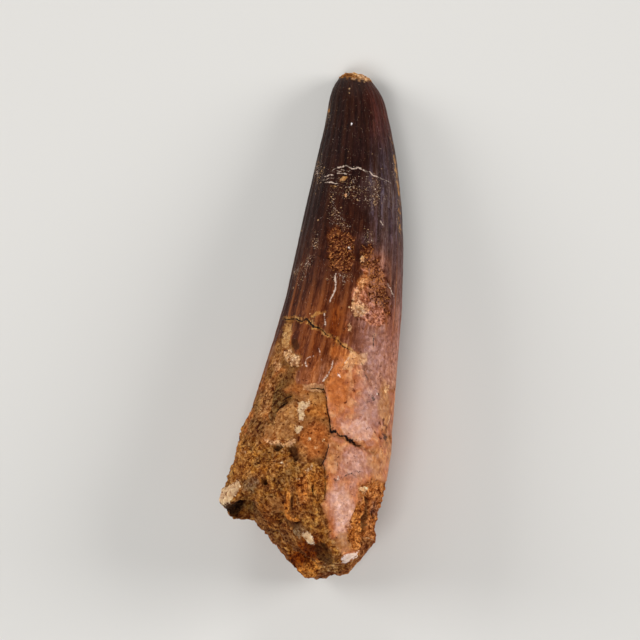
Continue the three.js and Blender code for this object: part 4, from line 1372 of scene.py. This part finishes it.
def paintFossil():
    f = Finish("fossil")
    stretch = fossil["stretch"]
    weights = fossil["weights"]
    gather = fossil["gather"]

    def pattern(name, vector):
        return f.noise(vector, *fossil["patterns"][name])

    def edge(name, value):
        return f.step(value, *fossil["edges"][name])

    def frayed(name, value):
        for grainy, much in zip((dust, clots), fossil["fray"][name]):
            value = value + grainy * much if much else value
        return edge(name, value)

    def cover(under, name, share, colour):
        return f.blend(share * fossil["covers"][name], under, colour)

    place = f.node("ShaderNodeTexCoord", {}, {}, "Object")
    point = f.times(place, (1 / mm, 1 / mm, 1 / mm))
    apart = f.node("ShaderNodeVectorMath", {"operation": "ADD"}, {0: point, 1: fossil["apart"]})
    around = f.vector("round")
    enamel = f.value("enamel")
    gritty = f.value("grit")
    bony = f.value("smoothed")

    # grains of sand and worn bone
    dust = pattern("dust", point)
    clots = pattern("clots", point)
    shade = pattern("shade", apart)
    cells = f.grains(point, fossil["cellSize"], "Color")
    cellTone = f.part(cells, "X") - 0.5
    cellShade = f.part(cells, "Y") - 0.5
    pits = edge("pits", pattern("pits", apart) + f.value("pitted") * gather["pits"])
    fibre = pattern("fibre", f.times(apart, stretch["bone"]))
    grains = (dust + (fibre * weights["fibre"] - dust) * bony) * weights["grains"]
    grain = (grains + clots * weights["clots"] + cellTone * weights["cells"]) * gritty
    # the sand is painted darker in its hollows and lighter on its tops, by its height
    grain = grain + f.value("crevice") * weights["crevice"] - pits * weights["pits"]

    # streaks along the crown
    turned = f.times(around, stretch["streak"])
    streak = pattern("streak", turned)
    hair = pattern("hair", f.times(around, stretch["hair"]))
    streaks = streak * weights["streak"] + hair * weights["hair"]
    streaks = (streaks + pattern("broadStreak", turned) * weights["broadStreak"]) * enamel
    redder = pattern("redder", f.times(around, stretch["redder"])) * enamel
    brighter = grain + streaks - abs(grain) * fossil["levelled"]
    much = f.node("ShaderNodeMath", {"operation": "MINIMUM"}, {0: brighter, 1: fossil["brightest"]})
    varied = gritty * fossil["hueFrom"]["grit"] + fossil["hueFrom"]["least"]
    hue = (shade * weights["shade"] + cellShade) * varied + redder * weights["redder"]
    channels = {i: 2 ** (much * light + hue * warm) for i, (light, warm) in enumerate(fossil["channels"])}
    mottled = f.node("ShaderNodeCombineXYZ", {}, channels)
    surface = f.times(f.vector("tint"), mottled)

    # flutes
    flutes = tooth["flutes"]
    perRadian = flutes["count"] / (2 * math.pi)
    sides = {0: f.part(around, "Y"), 1: f.part(around, "X")}
    turn = f.node("ShaderNodeMath", {"operation": "ARCTAN2"}, sides)
    phase = turn * perRadian + (f.value("wander") - flutes["start"] * flutes["count"] / 360)
    nearest = f.node("ShaderNodeMath", {"operation": "ROUND"}, {0: phase})
    fromRidge = abs(phase - nearest) * (f.value("radius") * (1 / perRadian))
    ridge = edge("ridge", fromRidge + streak * fossil["ridgeWander"]) * enamel
    ridge = ridge * edge("ridgeGaps", pattern("ridgeGaps", turned))
    shows = fossil["ridgeShows"]
    low = edge("low", f.value("along"))
    surface = f.blend(ridge * (shows["least"] + low * shows["low"]), surface, fossil["ridge"])

    # plates and spots, with the same grains over them
    onPlate = frayed("plates", f.value("plateEdge")) * f.value("plateShare")
    surface = f.blend(onPlate, surface, f.times(f.vector("plateTint"), mottled))

    # bright crumbs in the bare patches
    flecks = edge("flecks", pattern("flecks", apart)) * edge("fleckGrit", gritty)
    surface = cover(surface, "flecks", flecks, fossil["fleck"])

    # specks of sand on the enamel
    dusty = f.value("dusty")
    kinds = f.grains(apart, fossil["dotSpacing"], "Color")
    picked = edge("picked", f.part(kinds, "X") + dusty * gather["dots"])
    fromDot = f.grains(apart, fossil["dotSpacing"], "Distance") + f.part(kinds, "Z") * fossil["dotsDiffer"]
    crumbs = frayed("crumbs", pattern("crumbs", point) + dusty * gather["crumbs"])
    dashes = edge("dashes", pattern("dashes", f.times(around, stretch["dash"])) + dusty * gather["dashes"])
    surface = cover(surface, "dashes", dashes * enamel, fossil["chalk"])
    sand = f.blend(edge("chalky", shade), fossil["speck"], fossil["chalk"])
    surface = cover(surface, "crumbs", crumbs * enamel, sand)
    surface = cover(surface, "dots", frayed("dots", fromDot) * picked * enamel, fossil["speck"])

    # glints in the sand
    glints = edge("glints", pattern("glints", apart)) * edge("glintGrit", gritty)
    surface = cover(surface, "glints", glints, fossil["chalk"])

    # cracks with sand beside them, scratches, and veins in the bone
    inCrack = f.value("crackWidth") - abs(f.value("crackSide"))
    filled = frayed("filler", inCrack) * enamel
    surface = cover(surface, "filler", filled, f.times(mottled, fossil["filler"][:3]))
    crack = frayed("cracks", inCrack)
    surface = cover(surface, "cracks", crack, fossil["pit"])
    inScratch = f.value("scratchWidth") - abs(f.value("scratchSide"))
    surface = cover(surface, "scratches", frayed("scratches", inScratch), fossil["chalk"])
    veins = edge("veins", abs(pattern("veins", apart))) * edge("veinGaps", clots) * bony
    surface = cover(surface, "veins", veins, fossil["vein"])

    heights = fossil["heights"]
    height = (dust * heights["dust"] + clots + cellTone * heights["cells"]) * gritty
    height = height * (1 - bony * heights["lessOnBone"]) + fibre * heights["fibre"] * bony
    height = height + hair * heights["hair"] * enamel - crack - pits * heights["pits"]
    bump = f.node("ShaderNodeBump", {}, {**fossil["bump"], "Height": height}, "Normal")
    rough = fossil["roughness"]
    coat = fossil["coat"]
    glossy = enamel + bony * (1 - enamel)
    material = f.show(
        baseColor=surface,
        roughness=rough["dull"] - glossy * rough["gloss"] + dust * rough["dust"],
        coat=bony * (clots + coat["bone"]) + enamel * coat["enamel"],
        coatRoughness=coat["roughness"],
        specular=fossil["specular"],
        normal=bump,
    )
    print("fossil painted:", len(f.tree.nodes), "nodes")
    return material


# Floor and light: each softbox's direction from the tooth, distance and size in mm, and share of the light.
studio = {
    "floorSize": 4000,
    "floorColour": solid(tone(214, 212, 208)),
    "farColour": solid(tone(238, 236, 232)),
    "unlit": (0, 0, 0, 1),
    "farFrom": 300,
    "farTo": 1000,
    "horizonHeight": 400,
    "horizonSides": 64,
    "sky": 0.2,
    "skyColour": (1, 1, 1, 1),
    "light": 18.0,
    "boxes": {
        "rightSoftbox": {"from": (0.9, 0.15, 0.42), "away": 1560, "size": 780, "share": 0.95},
        "leftSoftbox": {"from": (-0.88, 0.25, 0.42), "away": 1560, "size": 780, "share": 0.8},
        "topSoftbox": {"from": (-0.1, 0.95, 0.3), "away": 1680, "size": 600, "share": 0.5},
        "frontSoftbox": {"from": (-0.22, -0.5, 0.84), "away": 1800, "size": 720, "share": 0.75},
    },
}


def makePaper():
    # away from the tooth the paper glows evenly in place of being lit, which keeps it pale up to the horizon
    f = Finish("floorPaper")
    place = f.node("ShaderNodeTexCoord", {}, {}, "Object")
    away = f.node("ShaderNodeVectorMath", {"operation": "LENGTH"}, {0: place}, "Value")
    far = f.step(away, studio["farFrom"] * mm, studio["farTo"] * mm)
    lit = f.blend(far, studio["floorColour"], studio["unlit"])
    glow = f.blend(far, studio["unlit"], studio["farColour"])
    return f.show(baseColor=lit, roughness=1.0, specular=0.0, emissionColor=glow, emissionStrength=1.0)


def addBackdrop():
    paper = makePaper()
    bpy.ops.object.select_all(action="DESELECT")
    bpy.ops.mesh.primitive_plane_add(size=studio["floorSize"] * mm)
    bpy.context.object.name = "floor"
    bpy.context.object.data.materials.append(paper)
    reach = studio["floorSize"] / 2 * mm
    bpy.ops.mesh.primitive_cylinder_add(
        vertices=studio["horizonSides"],
        radius=reach,
        depth=studio["horizonHeight"] * mm,
        end_fill_type="NOTHING",
    )
    bpy.context.object.name = "horizon"
    bpy.context.object.data.materials.append(paper)


def addLights():
    for name, box in studio["boxes"].items():
        length = math.hypot(*box["from"])
        bpy.ops.object.light_add(type="AREA", location=[c / length * box["away"] * mm for c in box["from"]])
        light = bpy.context.object
        light.name = name
        light.data.shape = "SQUARE"
        light.data.size = box["size"] * mm
        light.data.energy = studio["light"] * box["share"]
        light.rotation_mode = "QUATERNION"
        light.rotation_quaternion = light.location.to_track_quat("Z", "Y")
        light.visible_camera = False
    world = bpy.data.worlds.new("sky")
    world.use_nodes = True
    world.node_tree.nodes["Background"].inputs["Color"].default_value = studio["skyColour"]
    world.node_tree.nodes["Background"].inputs["Strength"].default_value = studio["sky"]
    bpy.context.scene.world = world
    bpy.context.scene.view_settings.view_transform = "Standard"
    print("studio lit")


addCamera()
body = makeTooth()
body.data.materials.append(paintFossil())
addBackdrop()
addLights()
